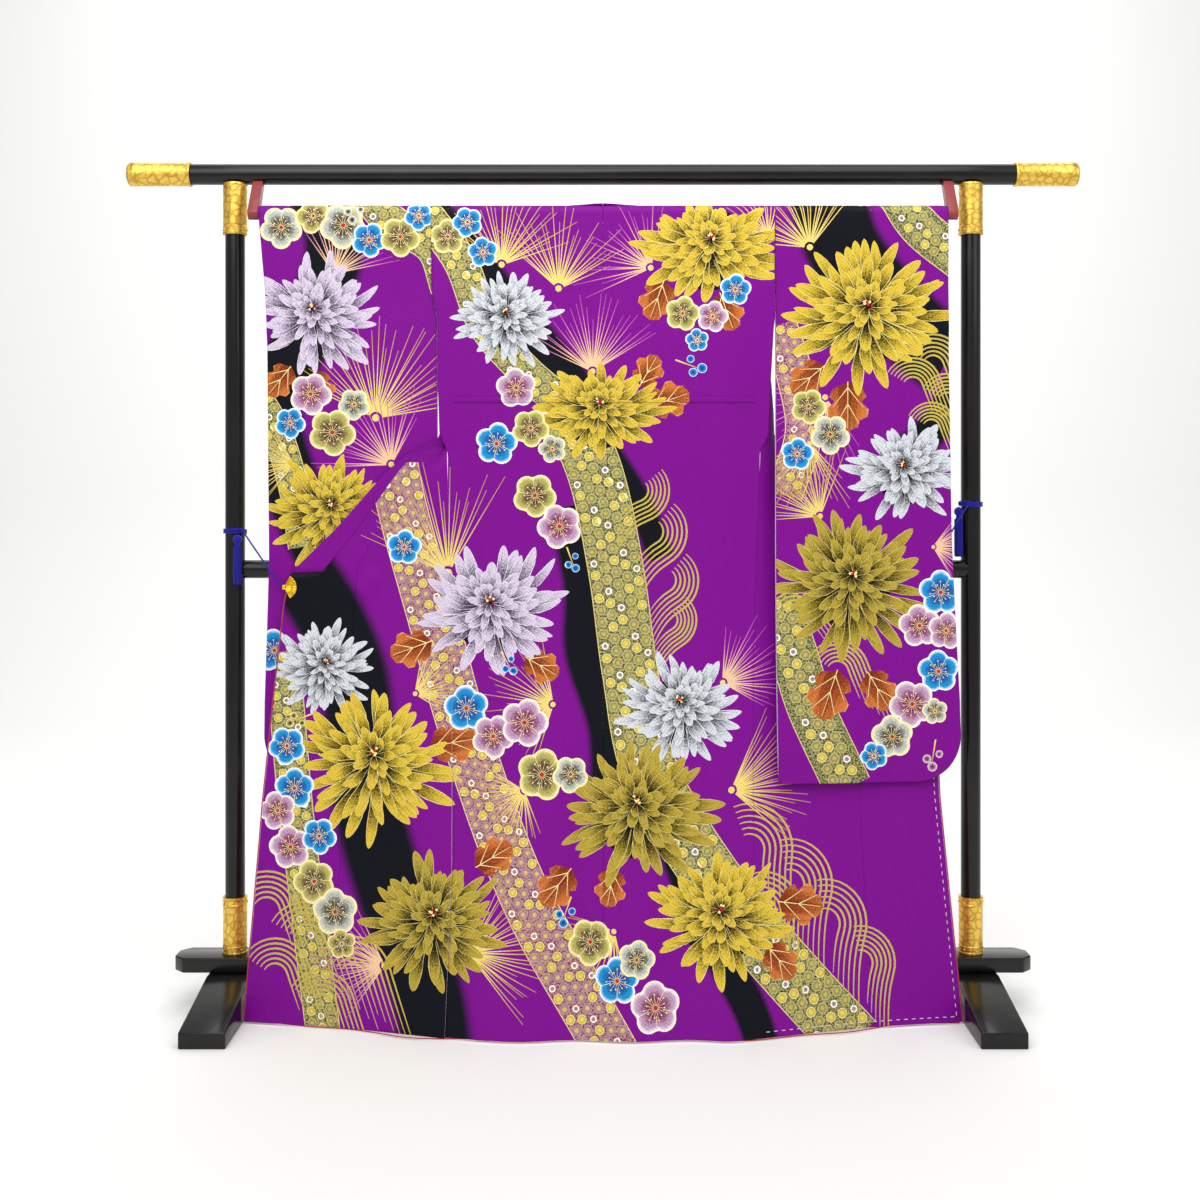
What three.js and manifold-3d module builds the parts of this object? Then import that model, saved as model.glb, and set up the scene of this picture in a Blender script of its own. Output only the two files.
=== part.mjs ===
// Furisode opened out for display, seen from its back, on a lacquered kimono stand.
// Millimetres, +Z up, the floor at z = 0 and the middle of the stand's footprint at the origin.
// The garment's outside faces -Y. A layer is a distance in Y from the plane of the hanging pole.
import * as THREE from "three";
import { mergeVertices } from "three/addons/utils/BufferGeometryUtils.js";
import Module from "manifold-3d";

const wasm = await Module();
wasm.setup();

// Driving dimensions
const GAP = 0.3;
const SEAM_GAP = 0.5;
const WALL = 2;
const ROUND_SIDES = 18;
const SIDES = { left: -1, right: 1 };

const BAR = { radius: 20.5, halfLength: 932, z: 1633, capLength: 120, capWall: 2.2 };
const POST = { x: 726, radius: 19.2, ferruleWall: 4, topFerruleFrom: 1513, bottomFerruleTo: 209 };
const LOW_BAR = { radius: 18, z: 854 };
const PLATE = { top: 97, thickness: 29, halfLength: 114, halfDepth: 37.5, chamfer: 20 };
const BEAM = { halfWidth: 43, halfLength: 260, flatHalf: 52, endHeight: 30 };
const POLE = { y: -50, z: 1547.5, radius: 12.5, halfLength: 668, armWidth: 20 };

const DRAPE = { from: 950, power: 1.8, middle: 170, corner: 75, spreadFrom: 250, spreadTo: 680 };
const RIPPLE = { depth: 5, length: 205, from: 700 };
const HEM_Z = 5;
const WRAP_RADIUS = POLE.radius + 0.5 + WALL / 2;
const WRAP_STEPS = 4;
const TOP_GAP = 0.5;
const QUARTER_WRAP = (Math.PI / 2) * WRAP_RADIUS;

// The side line of the body: half width, and the layers of the back's and the front's edge there
const SIDE_LINE = {
  left: [
    { z: 1562, half: 333, back: -13.8, front: 13.8 },
    { z: 1400, half: 331, back: -13.8, front: 13.8 },
    { z: 1330, half: 314, back: -12, front: 11 },
    { z: 1190, half: 304, back: -9.5, front: -2 },
    { z: 1085, half: 301, back: -8, front: -8 },
    { z: 700, half: 290, back: -8, front: -8 },
    { z: 300, half: 284, back: -5, front: -5 },
    { z: 0, half: 290, back: 0, front: 0 },
  ],
  right: [
    { z: 1562, half: 333, back: -13.8, front: 13.8 },
    { z: 1400, half: 331, back: -13.8, front: 13.8 },
    { z: 1330, half: 316, back: -11, front: 11 },
    { z: 1190, half: 309, back: -3, front: 4 },
    { z: 1085, half: 305, back: 0, front: 0 },
    { z: 700, half: 290, back: 0, front: 0 },
    { z: 300, half: 284, back: 0, front: 0 },
    { z: 0, half: 290, back: 0, front: 0 },
  ],
};

// The front's course across: it leaves the side line, turns at a fold, passes the sleeve's inner
// edge and ends at its free edge. The left one lies on its sleeve, the right one behind it.
const FRONT_COURSE = {
  left: [
    { z: 1547.5, foldX: 243, foldN: 13.8, passX: 152, passN: 13.8, edgeX: 62, drop: 0, edgeN: 13.8, sag: 0 },
    { z: 1450, foldX: 262, foldN: 15, passX: 190, passN: 17, edgeX: 118, drop: 4, edgeN: 17, sag: 0 },
    { z: 1380, foldX: 276, foldN: 24, passX: 218, passN: 28, edgeX: 163, drop: 6, edgeN: 24, sag: 4 },
    { z: 1300, foldX: 308, foldN: 32, passX: 252, passN: 50, edgeX: 220, drop: 8, edgeN: 58, sag: 10 },
    { z: 1235, foldX: 322, foldN: 36, passX: 286, passN: 66, edgeX: 278, drop: 10, edgeN: 92, sag: 8 },
    { z: 1195, foldX: 306, foldN: 36, passX: 305, passN: 72, edgeX: 311, drop: 10, edgeN: 90, sag: 10 },
    { z: 1165, foldX: 303.5, foldN: 50, passX: 308, passN: 70, edgeX: 316, drop: 8, edgeN: 40, sag: 8 },
    { z: 1140, foldX: 304, foldN: 48, passX: 311.5, passN: 38, edgeX: 313.5, drop: 6, edgeN: 4, sag: 6 },
    { z: 1124, foldX: 304.5, foldN: 32, passX: 312.5, passN: 10, edgeX: 315, drop: 5, edgeN: -15, sag: 4 },
    { z: 1114, foldX: 305, foldN: 18, passX: 313, passN: -8, edgeX: 318, drop: 5, edgeN: -18, sag: 2 },
    { z: 1104, foldX: 306, foldN: 5, passX: 314, passN: -13, edgeX: 334, drop: 6, edgeN: -19, sag: 1 },
    { z: 1085, foldX: 308, foldN: -6, passX: 318, passN: -14, edgeX: 382, drop: 7, edgeN: -16, sag: 0 },
    { z: 1050, foldX: 317, foldN: -13, passX: 350, passN: -15.5, edgeX: 422, drop: 8, edgeN: -16, sag: 0 },
    { z: 950, foldX: 326, foldN: -14, passX: 430, passN: -16, edgeX: 517, drop: 16, edgeN: -16, sag: 0 },
    { z: 868, foldX: 334, foldN: -14.5, passX: 470, passN: -16, edgeX: 603, drop: 18, edgeN: -16, sag: 0 },
    { z: 790, foldX: 338, foldN: -14.5, passX: 480, passN: -16, edgeX: 615, drop: 6, edgeN: -16, sag: 0 },
    { z: 600, foldX: 340, foldN: -14.5, passX: 490, passN: -16, edgeX: 634, drop: 0, edgeN: -16, sag: 0 },
    { z: 420, foldX: 342, foldN: -14.5, passX: 496, passN: -16, edgeX: 650, drop: 0, edgeN: -16, sag: 0 },
    { z: 5, foldX: 360, foldN: 0, passX: 510, passN: 0, edgeX: 679, drop: 0, edgeN: 0, sag: 0 },
  ],
  right: [
    { z: 1547.5, foldX: 243, foldN: 13.8, passX: 152, passN: 13.8, edgeX: 62, drop: 0, edgeN: 13.8, sag: 0 },
    { z: 1450, foldX: 262, foldN: 15, passX: 190, passN: 17, edgeX: 118, drop: 4, edgeN: 17, sag: 0 },
    { z: 1380, foldX: 276, foldN: 24, passX: 218, passN: 28, edgeX: 163, drop: 6, edgeN: 24, sag: 4 },
    { z: 1300, foldX: 320, foldN: 34, passX: 252, passN: 52, edgeX: 220, drop: 8, edgeN: 60, sag: 10 },
    { z: 1230, foldX: 330, foldN: 38, passX: 284, passN: 70, edgeX: 272, drop: 10, edgeN: 98, sag: 12 },
    { z: 1180, foldX: 335, foldN: 42, passX: 306, passN: 78, edgeX: 308, drop: 12, edgeN: 112, sag: 12 },
    { z: 1140, foldX: 336, foldN: 38, passX: 324, passN: 70, edgeX: 338, drop: 14, edgeN: 98, sag: 12 },
    { z: 1100, foldX: 338, foldN: 30, passX: 346, passN: 56, edgeX: 376, drop: 18, edgeN: 74, sag: 12 },
    { z: 1060, foldX: 338, foldN: 22, passX: 376, passN: 40, edgeX: 430, drop: 22, edgeN: 46, sag: 12 },
    { z: 990, foldX: 334, foldN: 17, passX: 440, passN: 22, edgeX: 560, drop: 24, edgeN: 16, sag: 8 },
    { z: 940, foldX: 334, foldN: 15, passX: 480, passN: 15.5, edgeX: 634, drop: 10, edgeN: 15.5, sag: 0 },
    { z: 905, foldX: 334, foldN: 15, passX: 490, passN: 15.5, edgeX: 650, drop: 2, edgeN: 15.5, sag: 0 },
    { z: 600, foldX: 334, foldN: 15, passX: 490, passN: 15.5, edgeX: 646, drop: 0, edgeN: 15.5, sag: 0 },
    { z: 420, foldX: 336, foldN: 13, passX: 496, passN: 15, edgeX: 650, drop: 0, edgeN: 15, sag: 0 },
    { z: 5, foldX: 360, foldN: 0, passX: 510, passN: 0, edgeX: 679, drop: 0, edgeN: 0, sag: 0 },
  ],
};

// Where the front's width ends and where the collar begins, as shares of the course across
const WIDTH_SHARES = [
  { z: 1562, okumi: 0.8, collar: 0.8 },
  { z: 1320, okumi: 0.79, collar: 0.8 },
  { z: 1180, okumi: 0.73, collar: 0.81 },
  { z: 950, okumi: 0.61, collar: 0.8 },
  { z: 868, okumi: 0.585, collar: 0.8 },
  { z: 5, okumi: 0.565, collar: 0.8 },
];
const OKUMI_TOP = 1300;
const COLLAR_END = 868;
const NECK = { bandFoot: 1497, rise: 5, riseHalf: 33, lift: 0.16 };

// A sleeve's edges, and how far its two walls stand from the pole's plane
const SLEEVE = { foot: 449, corner: 90, layer: 8, wrist: 1330, sewnMargin: 60, sewnLayer: 1.4, settle: 170 };
const SLEEVE_EDGES = {
  left: [
    { z: 1562, inner: 333.3, outer: 667.5 },
    { z: 1400, inner: 332, outer: 655 },
    { z: 1340, inner: 322, outer: 652 },
    { z: 875, inner: 321, outer: 648 },
    { z: 604, inner: 321, outer: 654 },
    { z: 449, inner: 321, outer: 654 },
  ],
  right: [
    { z: 1562, inner: 333.3, outer: 667.5 },
    { z: 1400, inner: 333.3, outer: 669 },
    { z: 1340, inner: 335, outer: 670 },
    { z: 914, inner: 335, outer: 677 },
    { z: 604, inner: 335, outer: 690 },
    { z: 449, inner: 335, outer: 691 },
  ],
};

// Below this height a front's seam lies beside the back's edge, no longer behind it
const TWIST = { from: 1190, over: 60, seamShift: 1.3 };
const TUCK = { z: 1190, height: 9, wall: 1.6, shares: [0.02, 0.16, 0.33, 0.5, 0.66, 0.8, 0.88, 0.95] };
const EDGING = { size: 2.4 };
const CLIP = { radius: 25, plate: 2, spread: 62, clear: 0.9, z: { left: 836, right: 896 } };
const CORD = { radius: 1.6, wraps: 3, sides: 8, clear: 0.8 };
const TASSEL = { headRadius: 9, neckRadius: 6.2, headHeight: 26, length: 100, strands: 26, strandRadius: 1.5 };
// Where each post's cord is tied: the knot's height, the tassel's and the cord's angle round the
// post, and a point that the cord passes on its way to the clip
const CORD_POSTS = {
  left: { knotZ: 929, tasselAngle: -1.19, tieAngle: -0.75, passX: -662, passY: -62, passZ: 880 },
  right: { knotZ: 983, tasselAngle: -2.75, tieAngle: -1.9, passX: 690, passY: -36, passZ: 946 },
};

// Finishes
const SILK = { color: 0x7b1490, roughness: 0.55, metalness: 0 };
const RED_SILK = { color: 0xc01828, roughness: 0.5, metalness: 0 };
const LACQUER = { color: 0x0b0b0d, roughness: 0.12, metalness: 0 };
const GILT = { color: 0xe8c65a, roughness: 0.3, metalness: 0.9 };
const RED_LACQUER = { color: 0x8c3a3c, roughness: 0.4, metalness: 0 };
const BLUE_CORD = { color: 0x1a0fa0, roughness: 0.8, metalness: 0 };

const root = new THREE.Group();

function add(name, geometry, finish) {
  const mesh = new THREE.Mesh(geometry, new THREE.MeshStandardMaterial(finish));
  mesh.name = name;
  root.add(mesh);
}

const mix = (a, b, t) => a + (b - a) * t;
const clamp01 = (t) => Math.min(1, Math.max(0, t));
const smooth = (t) => clamp01(t) ** 2 * (3 - 2 * clamp01(t));

// The row of a table at height z, with every column read between its two neighbours. Heights fall.
function rowAt(table, z) {
  const height = Math.min(table[0].z, Math.max(table.at(-1).z, z));
  const k = Math.max(1, table.findIndex((row) => row.z <= height));
  const [above, below] = [table[k - 1], table[k]];
  const t = (above.z - height) / (above.z - below.z);
  return Object.fromEntries(Object.keys(above).map((key) => [key, mix(above[key], below[key], t)]));
}

// How far the hanging cloth has come forward of the pole's plane
function forward(x, z) {
  const spread = smooth((Math.abs(x) - DRAPE.spreadFrom) / (DRAPE.spreadTo - DRAPE.spreadFrom));
  const reach = mix(DRAPE.middle, DRAPE.corner, spread);
  const fall = clamp01((DRAPE.from - z) / DRAPE.from);
  const wave = Math.sin((x / RIPPLE.length) * 2 * Math.PI);
  return reach * fall ** DRAPE.power + RIPPLE.depth * smooth((RIPPLE.from - z) / RIPPLE.from) * wave;
}

// A point of the cloth at a layer: negative layers are nearer the viewer of the back
function clothPoint(x, z, layer) {
  return new THREE.Vector3(x, POLE.y + layer - forward(x, z), z);
}

// The course of cloth over the pole, by its length from the top: height and layer
function overPole(length, facing) {
  if (length >= QUARTER_WRAP) return { z: POLE.z - (length - QUARTER_WRAP), layer: facing * WRAP_RADIUS };
  const turn = length / WRAP_RADIUS;
  return { z: POLE.z + WRAP_RADIUS * Math.cos(turn), layer: facing * WRAP_RADIUS * Math.sin(turn) };
}

// Heights as lengths from the pole's top: a few steps round the pole, then the given heights
function lengthsFor(heights) {
  const round = [TOP_GAP, ...steps(0, QUARTER_WRAP, WRAP_STEPS).slice(1)];
  return [...round, ...heights.map((z) => QUARTER_WRAP + POLE.z - z)];
}

function steps(from, to, count) {
  return Array.from({ length: count + 1 }, (_, i) => mix(from, to, i / count));
}

// A wall round a grid of points, each row of the same length, half its thickness to either side
function wall(rows, thickness = WALL) {
  const normals = rows.map((row, i) =>
    row.map((_, j) => {
      const across = new THREE.Vector3();
      if (row[j].across) across.copy(row[j].across);
      else across.subVectors(row[Math.min(j + 1, row.length - 1)], row[Math.max(j - 1, 0)]);
      const above = rows[Math.max(i - 1, 0)][j];
      const below = rows[Math.min(i + 1, rows.length - 1)][j];
      return across.cross(new THREE.Vector3().subVectors(below, above)).normalize();
    }),
  );
  const positions = [];
  for (const side of [0.5, -0.5]) {
    rows.forEach((row, i) =>
      row.forEach((p, j) => {
        positions.push(...p.clone().addScaledVector(normals[i][j], thickness * side).toArray());
      }),
    );
  }
  const [high, wide] = [rows.length, rows[0].length];
  const at = (layer, i, j) => layer * high * wide + i * wide + j;
  const index = [];
  const quad = (a, b, c, d) => index.push(a, b, c, a, c, d);
  for (let i = 0; i < high - 1; i++) {
    for (let j = 0; j < wide - 1; j++) {
      quad(at(0, i, j), at(0, i, j + 1), at(0, i + 1, j + 1), at(0, i + 1, j));
      quad(at(1, i, j), at(1, i + 1, j), at(1, i + 1, j + 1), at(1, i, j + 1));
    }
    quad(at(0, i, 0), at(0, i + 1, 0), at(1, i + 1, 0), at(1, i, 0));
    quad(at(0, i, wide - 1), at(1, i, wide - 1), at(1, i + 1, wide - 1), at(0, i + 1, wide - 1));
  }
  for (let j = 0; j < wide - 1; j++) {
    quad(at(0, 0, j), at(1, 0, j), at(1, 0, j + 1), at(0, 0, j + 1));
    quad(at(0, high - 1, j), at(0, high - 1, j + 1), at(1, high - 1, j + 1), at(1, high - 1, j));
  }
  return outward(closedGeometry(positions, index));
}

function closedGeometry(positions, index) {
  const geometry = new THREE.BufferGeometry();
  geometry.setAttribute("position", new THREE.Float32BufferAttribute(positions, 3));
  geometry.setIndex(index);
  return geometry;
}

// Turns the faces of a closed surface outwards
function outward(geometry) {
  const [position, index] = [geometry.getAttribute("position"), geometry.index.array];
  const corner = [new THREE.Vector3(), new THREE.Vector3(), new THREE.Vector3()];
  let volume = 0;
  for (let i = 0; i < index.length; i += 3) {
    corner.forEach((p, k) => p.fromBufferAttribute(position, index[i + k]));
    volume += corner[0].dot(corner[1].clone().cross(corner[2]));
  }
  if (volume < 0) geometry.setIndex(Array.from(index).reverse());
  return geometry;
}

// Body panels
const BACK_HEIGHTS = [
  1490, 1420, 1350, 1280, 1225, 1190, 1181, 1135, 1085, 1010, 930, 850, 770, 690, 610, 530, 450, 370,
  290, 210, 135, 65, HEM_Z,
];
const BACK_COLUMNS = [0, 0.16, 0.33, 0.5, 0.66, 0.8, 0.88, 0.95, 1];
const BACK_LAYER = 12.5;

// A point of the back at a share of its width and a length from the pole's top
function backPoint(side, share, length) {
  const { z, layer } = overPole(length, -1);
  const line = rowAt(SIDE_LINE[side], z);
  const settled = mix(layer, -BACK_LAYER, smooth((POLE.z - z) / SLEEVE.settle));
  const edge = smooth((share - 0.75) / 0.25) * smooth((POLE.z - z) / SLEEVE.settle);
  const x = mix(GAP / 2, line.half - GAP / 2, share);
  return clothPoint(SIDES[side] * x, z, mix(settled, line.back, edge));
}

function backPanel(side) {
  const lengths = lengthsFor(BACK_HEIGHTS);
  return wall(lengths.map((length) => BACK_COLUMNS.map((share) => backPoint(side, share, length))));
}

function tuckFold(side) {
  const length = QUARTER_WRAP + POLE.z - TUCK.z;
  const out = WALL / 2 + GAP + TUCK.wall / 2;
  const rows = [0, TUCK.height].map((down) =>
    TUCK.shares.map((share) => backPoint(side, share, length + down).add(new THREE.Vector3(0, -out, 0))),
  );
  return wall(rows, TUCK.wall);
}

// The fronts, their okumi and the collar are widths of one course across, from side line to free edge
const FRONT_HEIGHTS = [
  1490, 1450, 1410, 1380, 1340, 1300, 1265, 1230, 1205, 1180, 1160, 1140, 1124, 1114, 1104, 1095, 1085,
  1068, 1050, 1000, 950, 905, 868, 835, 790, 700, 600, 510, 420, 320, 215, 105, HEM_Z,
];

function frontCourse(side, height) {
  const row = rowAt(FRONT_COURSE[side], height);
  const line = rowAt(SIDE_LINE[side], height);
  const seamX = line.half + TWIST.seamShift * smooth((TWIST.from - height) / TWIST.over);
  const heightAt = (share) => height - row.drop * share - row.sag * Math.sin(Math.PI * share);
  const points = [
    clothPoint(seamX, height, line.front),
    clothPoint(row.foldX, heightAt(0.33), row.foldN),
    clothPoint(row.passX, heightAt(0.66), row.passN),
    clothPoint(row.edgeX, height - row.drop, row.edgeN),
  ];
  points.forEach((p) => (p.x *= SIDES[side]));
  return new THREE.CatmullRomCurve3(points, false, "centripetal");
}

// A row of points across between two shares of the course, with half a seam's gap at either end
function frontRow(side, length, from, to, columns, seams) {
  const { z, layer } = overPole(length, 1);
  const height = Math.min(z, POLE.z);
  const course = frontCourse(side, height);
  const half = SEAM_GAP / 2 / course.getLength();
  const [start, end] = [from + half * seams.start, to - half * seams.end];
  return columns.map((t) => {
    const at = clamp01(mix(start, end, t));
    const p = course.getPointAt(at);
    const point = z <= POLE.z ? p : clothPoint(p.x, z, layer);
    point.across = course.getTangentAt(at);
    return point;
  });
}

const FRONT_COLUMNS = [0, 0.06, 0.14, 0.25, 0.4, 0.6, 0.8, 1];
const OKUMI_COLUMNS = [0, 0.2, 0.4, 0.6, 0.8, 1];
const COLLAR_COLUMNS = [0, 0.08, 0.16, 0.24, 0.31, 0.6, 1];

function frontPanel(side) {
  const rows = lengthsFor(FRONT_HEIGHTS).map((length) => {
    const share = rowAt(WIDTH_SHARES, overPole(length, 1).z).okumi;
    return frontRow(side, length, 0, share, FRONT_COLUMNS, { start: 0, end: 1 });
  });
  return wall(rows);
}

function okumiPanel(side) {
  const rows = FRONT_HEIGHTS.filter((z) => z <= OKUMI_TOP).map((z) => {
    const share = rowAt(WIDTH_SHARES, z);
    const hasCollar = z >= COLLAR_END;
    const length = QUARTER_WRAP + POLE.z - z;
    const seams = { start: 1, end: hasCollar ? 1 : 0 };
    return frontRow(side, length, share.okumi, hasCollar ? share.collar : 1, OKUMI_COLUMNS, seams);
  });
  return wall(rows);
}

// The collar band lies down behind the neck, turns at the shoulder and follows the front to its end
function collarBand(side) {
  const neckEdge = rowAt(FRONT_COURSE[side], POLE.z).edgeX;
  const bandLength = QUARTER_WRAP + POLE.z - NECK.bandFoot;
  const bandRow = (fromX, fromLength, toX, toLength, rise) =>
    COLLAR_COLUMNS.map((t) => {
      const { z, layer } = overPole(mix(fromLength, toLength, t), 1);
      const lift = 1 + NECK.lift * smooth(t * 6);
      const height = z > POLE.z ? mix(POLE.z, z, lift) : z;
      return clothPoint(SIDES[side] * mix(fromX, toX, t), height + rise * (1 - t) ** 6, layer * lift);
    });
  const rows = [
    bandRow(GAP / 2, TOP_GAP, GAP / 2, bandLength, NECK.rise),
    bandRow(NECK.riseHalf, TOP_GAP, NECK.riseHalf, bandLength, NECK.rise * 0.6),
    bandRow(neckEdge + 12, TOP_GAP, neckEdge - 4, bandLength, 0),
  ];
  const heights = FRONT_HEIGHTS.filter((z) => z >= COLLAR_END);
  lengthsFor(heights).forEach((length, k) => {
    const share = rowAt(WIDTH_SHARES, overPole(length, 1).z).collar;
    const row = frontRow(side, length, share, 1, COLLAR_COLUMNS, { start: 1, end: 0 });
    if (row.at(-1).z > NECK.bandFoot) {
      const turning = bandRow(Math.abs(row[0].x), length, neckEdge + k, bandLength + k, 0);
      turning[0].across = row[0].across;
      rows.push(turning);
    } else {
      rows.push(row);
    }
  });
  return wall(rows);
}

// Sleeves: the half in view and the half behind it meet over the pole and at the foot
const SLEEVE_HEIGHTS = [1490, 1420, 1370, 1330, 1290, 1200, 1080, 960, 850, 740, 640];
const SLEEVE_COLUMNS = [0, 0.15, 0.35, 0.55, 0.73, 0.83, 0.9, 0.96, 1];
const FOOT_STEPS = [0.25, 0.5, 0.75, 0.92, 1];

function sleevePoint(side, share, z, layer, facing) {
  const edges = rowAt(SLEEVE_EDGES[side], z);
  const x = mix(edges.inner, edges.outer, share);
  const settled = mix(Math.abs(layer), SLEEVE.layer, smooth((POLE.z - z) / SLEEVE.settle));
  const sewn = smooth((SLEEVE.wrist - z) / 50) * smooth(1 - (edges.outer - x) / SLEEVE.sewnMargin);
  const shut = Math.max(sewn, smooth((SLEEVE.foot + 60 - z) / 60));
  return clothPoint(SIDES[side] * x, z, facing * mix(settled, SLEEVE.sewnLayer, shut));
}

// The height of the sleeve's foot at a share of its width: straight, then round at the outer corner
function sleeveFoot(side, share) {
  const edges = rowAt(SLEEVE_EDGES[side], SLEEVE.foot);
  const fromOuter = (1 - share) * (edges.outer - edges.inner);
  if (fromOuter >= SLEEVE.corner) return SLEEVE.foot;
  return SLEEVE.foot + SLEEVE.corner - Math.sqrt(SLEEVE.corner ** 2 - (SLEEVE.corner - fromOuter) ** 2);
}

function sleeveHalf(side, facing) {
  const round = lengthsFor(SLEEVE_HEIGHTS).map((length) => {
    const { z, layer } = overPole(length, facing);
    return SLEEVE_COLUMNS.map((share) => sleevePoint(side, share, z, layer, facing));
  });
  const last = SLEEVE_HEIGHTS.at(-1);
  const foot = FOOT_STEPS.map((t) =>
    SLEEVE_COLUMNS.map((share) => {
      const z = mix(last, sleeveFoot(side, share), t);
      return sleevePoint(side, share, z, WRAP_RADIUS, facing);
    }),
  );
  return wall([...round, ...foot]);
}

// Red edging along the hem and the free edges: a square section along points of the cloth's edge
function strip(points, aside) {
  const half = EDGING.size / 2;
  const rows = points.map((p) => [-half, half].map((d) => p.clone().addScaledVector(aside, d)));
  return wall(rows, EDGING.size);
}

function hemLine() {
  const points = [];
  const backEdge = BACK_COLUMNS.map((share) => backPoint("right", share, QUARTER_WRAP + POLE.z - HEM_Z).x);
  const widths = [...backEdge.slice(1, -1), 290, 330, 370, 410, 455, 500, 550, 600, 640, 674];
  const across = [...widths.map((x) => -x).reverse(), 0, ...widths];
  across.forEach((x) => points.push(clothPoint(x, HEM_Z - GAP - EDGING.size / 2, 0)));
  return points;
}

function freeEdge(side) {
  const out = SIDES[side] * (EDGING.size / 2 + GAP);
  return FRONT_HEIGHTS.filter((z) => z < COLLAR_END).map((height) => {
    const p = frontCourse(side, height).getPointAt(1);
    return p.add(new THREE.Vector3(out, 0, 0));
  });
}

// Solid geometry of turned and extruded pieces
function turned(profile, sides = ROUND_SIDES) {
  const points = profile.map(([radius, height]) => new THREE.Vector2(radius, height));
  return new THREE.LatheGeometry(points, sides).rotateX(Math.PI / 2);
}

function rod(radius, from, to, sides = ROUND_SIDES) {
  return turned([[0, from], [radius, from], [radius, to], [0, to]], sides);
}

const alongX = (geometry) => geometry.rotateY(Math.PI / 2);

function solid(geometry) {
  const bare = new THREE.BufferGeometry().setAttribute("position", geometry.getAttribute("position"));
  if (geometry.index) bare.setIndex(geometry.index);
  const merged = mergeVertices(bare, 1e-3);
  const vertProperties = merged.attributes.position.array;
  const triVerts = new Uint32Array(merged.index.array);
  return new wasm.Manifold(new wasm.Mesh({ numProp: 3, vertProperties, triVerts }));
}

function geometryOf(manifold) {
  const mesh = manifold.getMesh();
  return closedGeometry(Array.from(mesh.vertProperties), Array.from(mesh.triVerts));
}

// An outline in Y and Z, extruded along X about the given middle
function extrudedAlongX(shape, width, middleX) {
  const geometry = new THREE.ExtrudeGeometry(shape, { depth: width, bevelEnabled: false, curveSegments: 10 });
  const axes = [new THREE.Vector3(0, 1, 0), new THREE.Vector3(0, 0, 1), new THREE.Vector3(1, 0, 0)];
  return geometry.applyMatrix4(new THREE.Matrix4().makeBasis(...axes)).translate(middleX - width / 2, 0, 0);
}

// Stand
function endCap(side) {
  const [inner, outer] = [BAR.radius + GAP, BAR.radius + GAP + BAR.capWall];
  const mouth = BAR.halfLength - BAR.capLength;
  const tip = BAR.halfLength + GAP + 4;
  const profile = [
    [inner, mouth], [outer + 1.2, mouth], [outer + 1.2, mouth + 5], [outer, mouth + 6],
    [outer, tip - 6], [outer - 2, tip - 2], [outer - 6, tip], [0, tip], [0, BAR.halfLength + GAP],
    [inner, BAR.halfLength + GAP], [inner, mouth],
  ];
  const cap = alongX(turned(profile));
  return SIDES[side] > 0 ? cap : cap.rotateZ(Math.PI);
}

function topFerrule(x) {
  const [inner, outer] = [POST.radius + GAP, POST.radius + POST.ferruleWall];
  const seat = BAR.z - BAR.radius - GAP;
  const profile = [
    [inner, POST.topFerruleFrom], [outer + 1, POST.topFerruleFrom], [outer + 1, POST.topFerruleFrom + 5],
    [outer, POST.topFerruleFrom + 6], [outer, BAR.z + 2], [0, BAR.z + 2], [0, seat - 4], [inner, seat - 4],
    [inner, POST.topFerruleFrom],
  ];
  const bar = alongX(rod(BAR.radius + GAP, -60, 60)).translate(0, 0, BAR.z);
  return geometryOf(solid(turned(profile)).subtract(solid(bar))).translate(x, 0, 0);
}

function bottomFerrule(x) {
  const [inner, outer] = [POST.radius + GAP, POST.radius + POST.ferruleWall];
  const [foot, top] = [PLATE.top + GAP, POST.bottomFerruleTo];
  const profile = [
    [inner, foot], [outer, foot], [outer, top - 6], [outer + 1, top - 5], [outer + 1, top],
    [inner, top], [inner, foot],
  ];
  return turned(profile).translate(x, 0, 0);
}

function lowBar() {
  const reach = POST.x - POST.radius / 2;
  let bar = solid(alongX(rod(LOW_BAR.radius, -reach, reach)));
  for (const x of [-POST.x, POST.x]) {
    bar = bar.subtract(solid(rod(POST.radius + GAP, -40, 40).translate(x, 0, 0)));
  }
  return geometryOf(bar).translate(0, 0, LOW_BAR.z);
}

function footPlate(x) {
  const [long, deep, cut] = [PLATE.halfLength, PLATE.halfDepth, PLATE.chamfer];
  const outline = [
    [-long + cut, -deep], [long - cut, -deep], [long, -deep + cut], [long, deep - cut],
    [long - cut, deep], [-long + cut, deep], [-long, deep - cut], [-long, -deep + cut],
  ];
  const shape = new THREE.Shape(outline.map(([a, b]) => new THREE.Vector2(a, b)));
  const geometry = new THREE.ExtrudeGeometry(shape, { depth: PLATE.thickness, bevelEnabled: false });
  return geometry.translate(x, 0, PLATE.top - PLATE.thickness);
}

function footBeam(x) {
  const top = PLATE.top - PLATE.thickness - GAP;
  const outline = [
    [-BEAM.halfLength, 0], [BEAM.halfLength, 0], [BEAM.halfLength, BEAM.endHeight],
    [BEAM.flatHalf, top], [-BEAM.flatHalf, top], [-BEAM.halfLength, BEAM.endHeight],
  ];
  const shape = new THREE.Shape(outline.map(([a, b]) => new THREE.Vector2(a, b)));
  return extrudedAlongX(shape, BEAM.halfWidth * 2, x);
}

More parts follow.
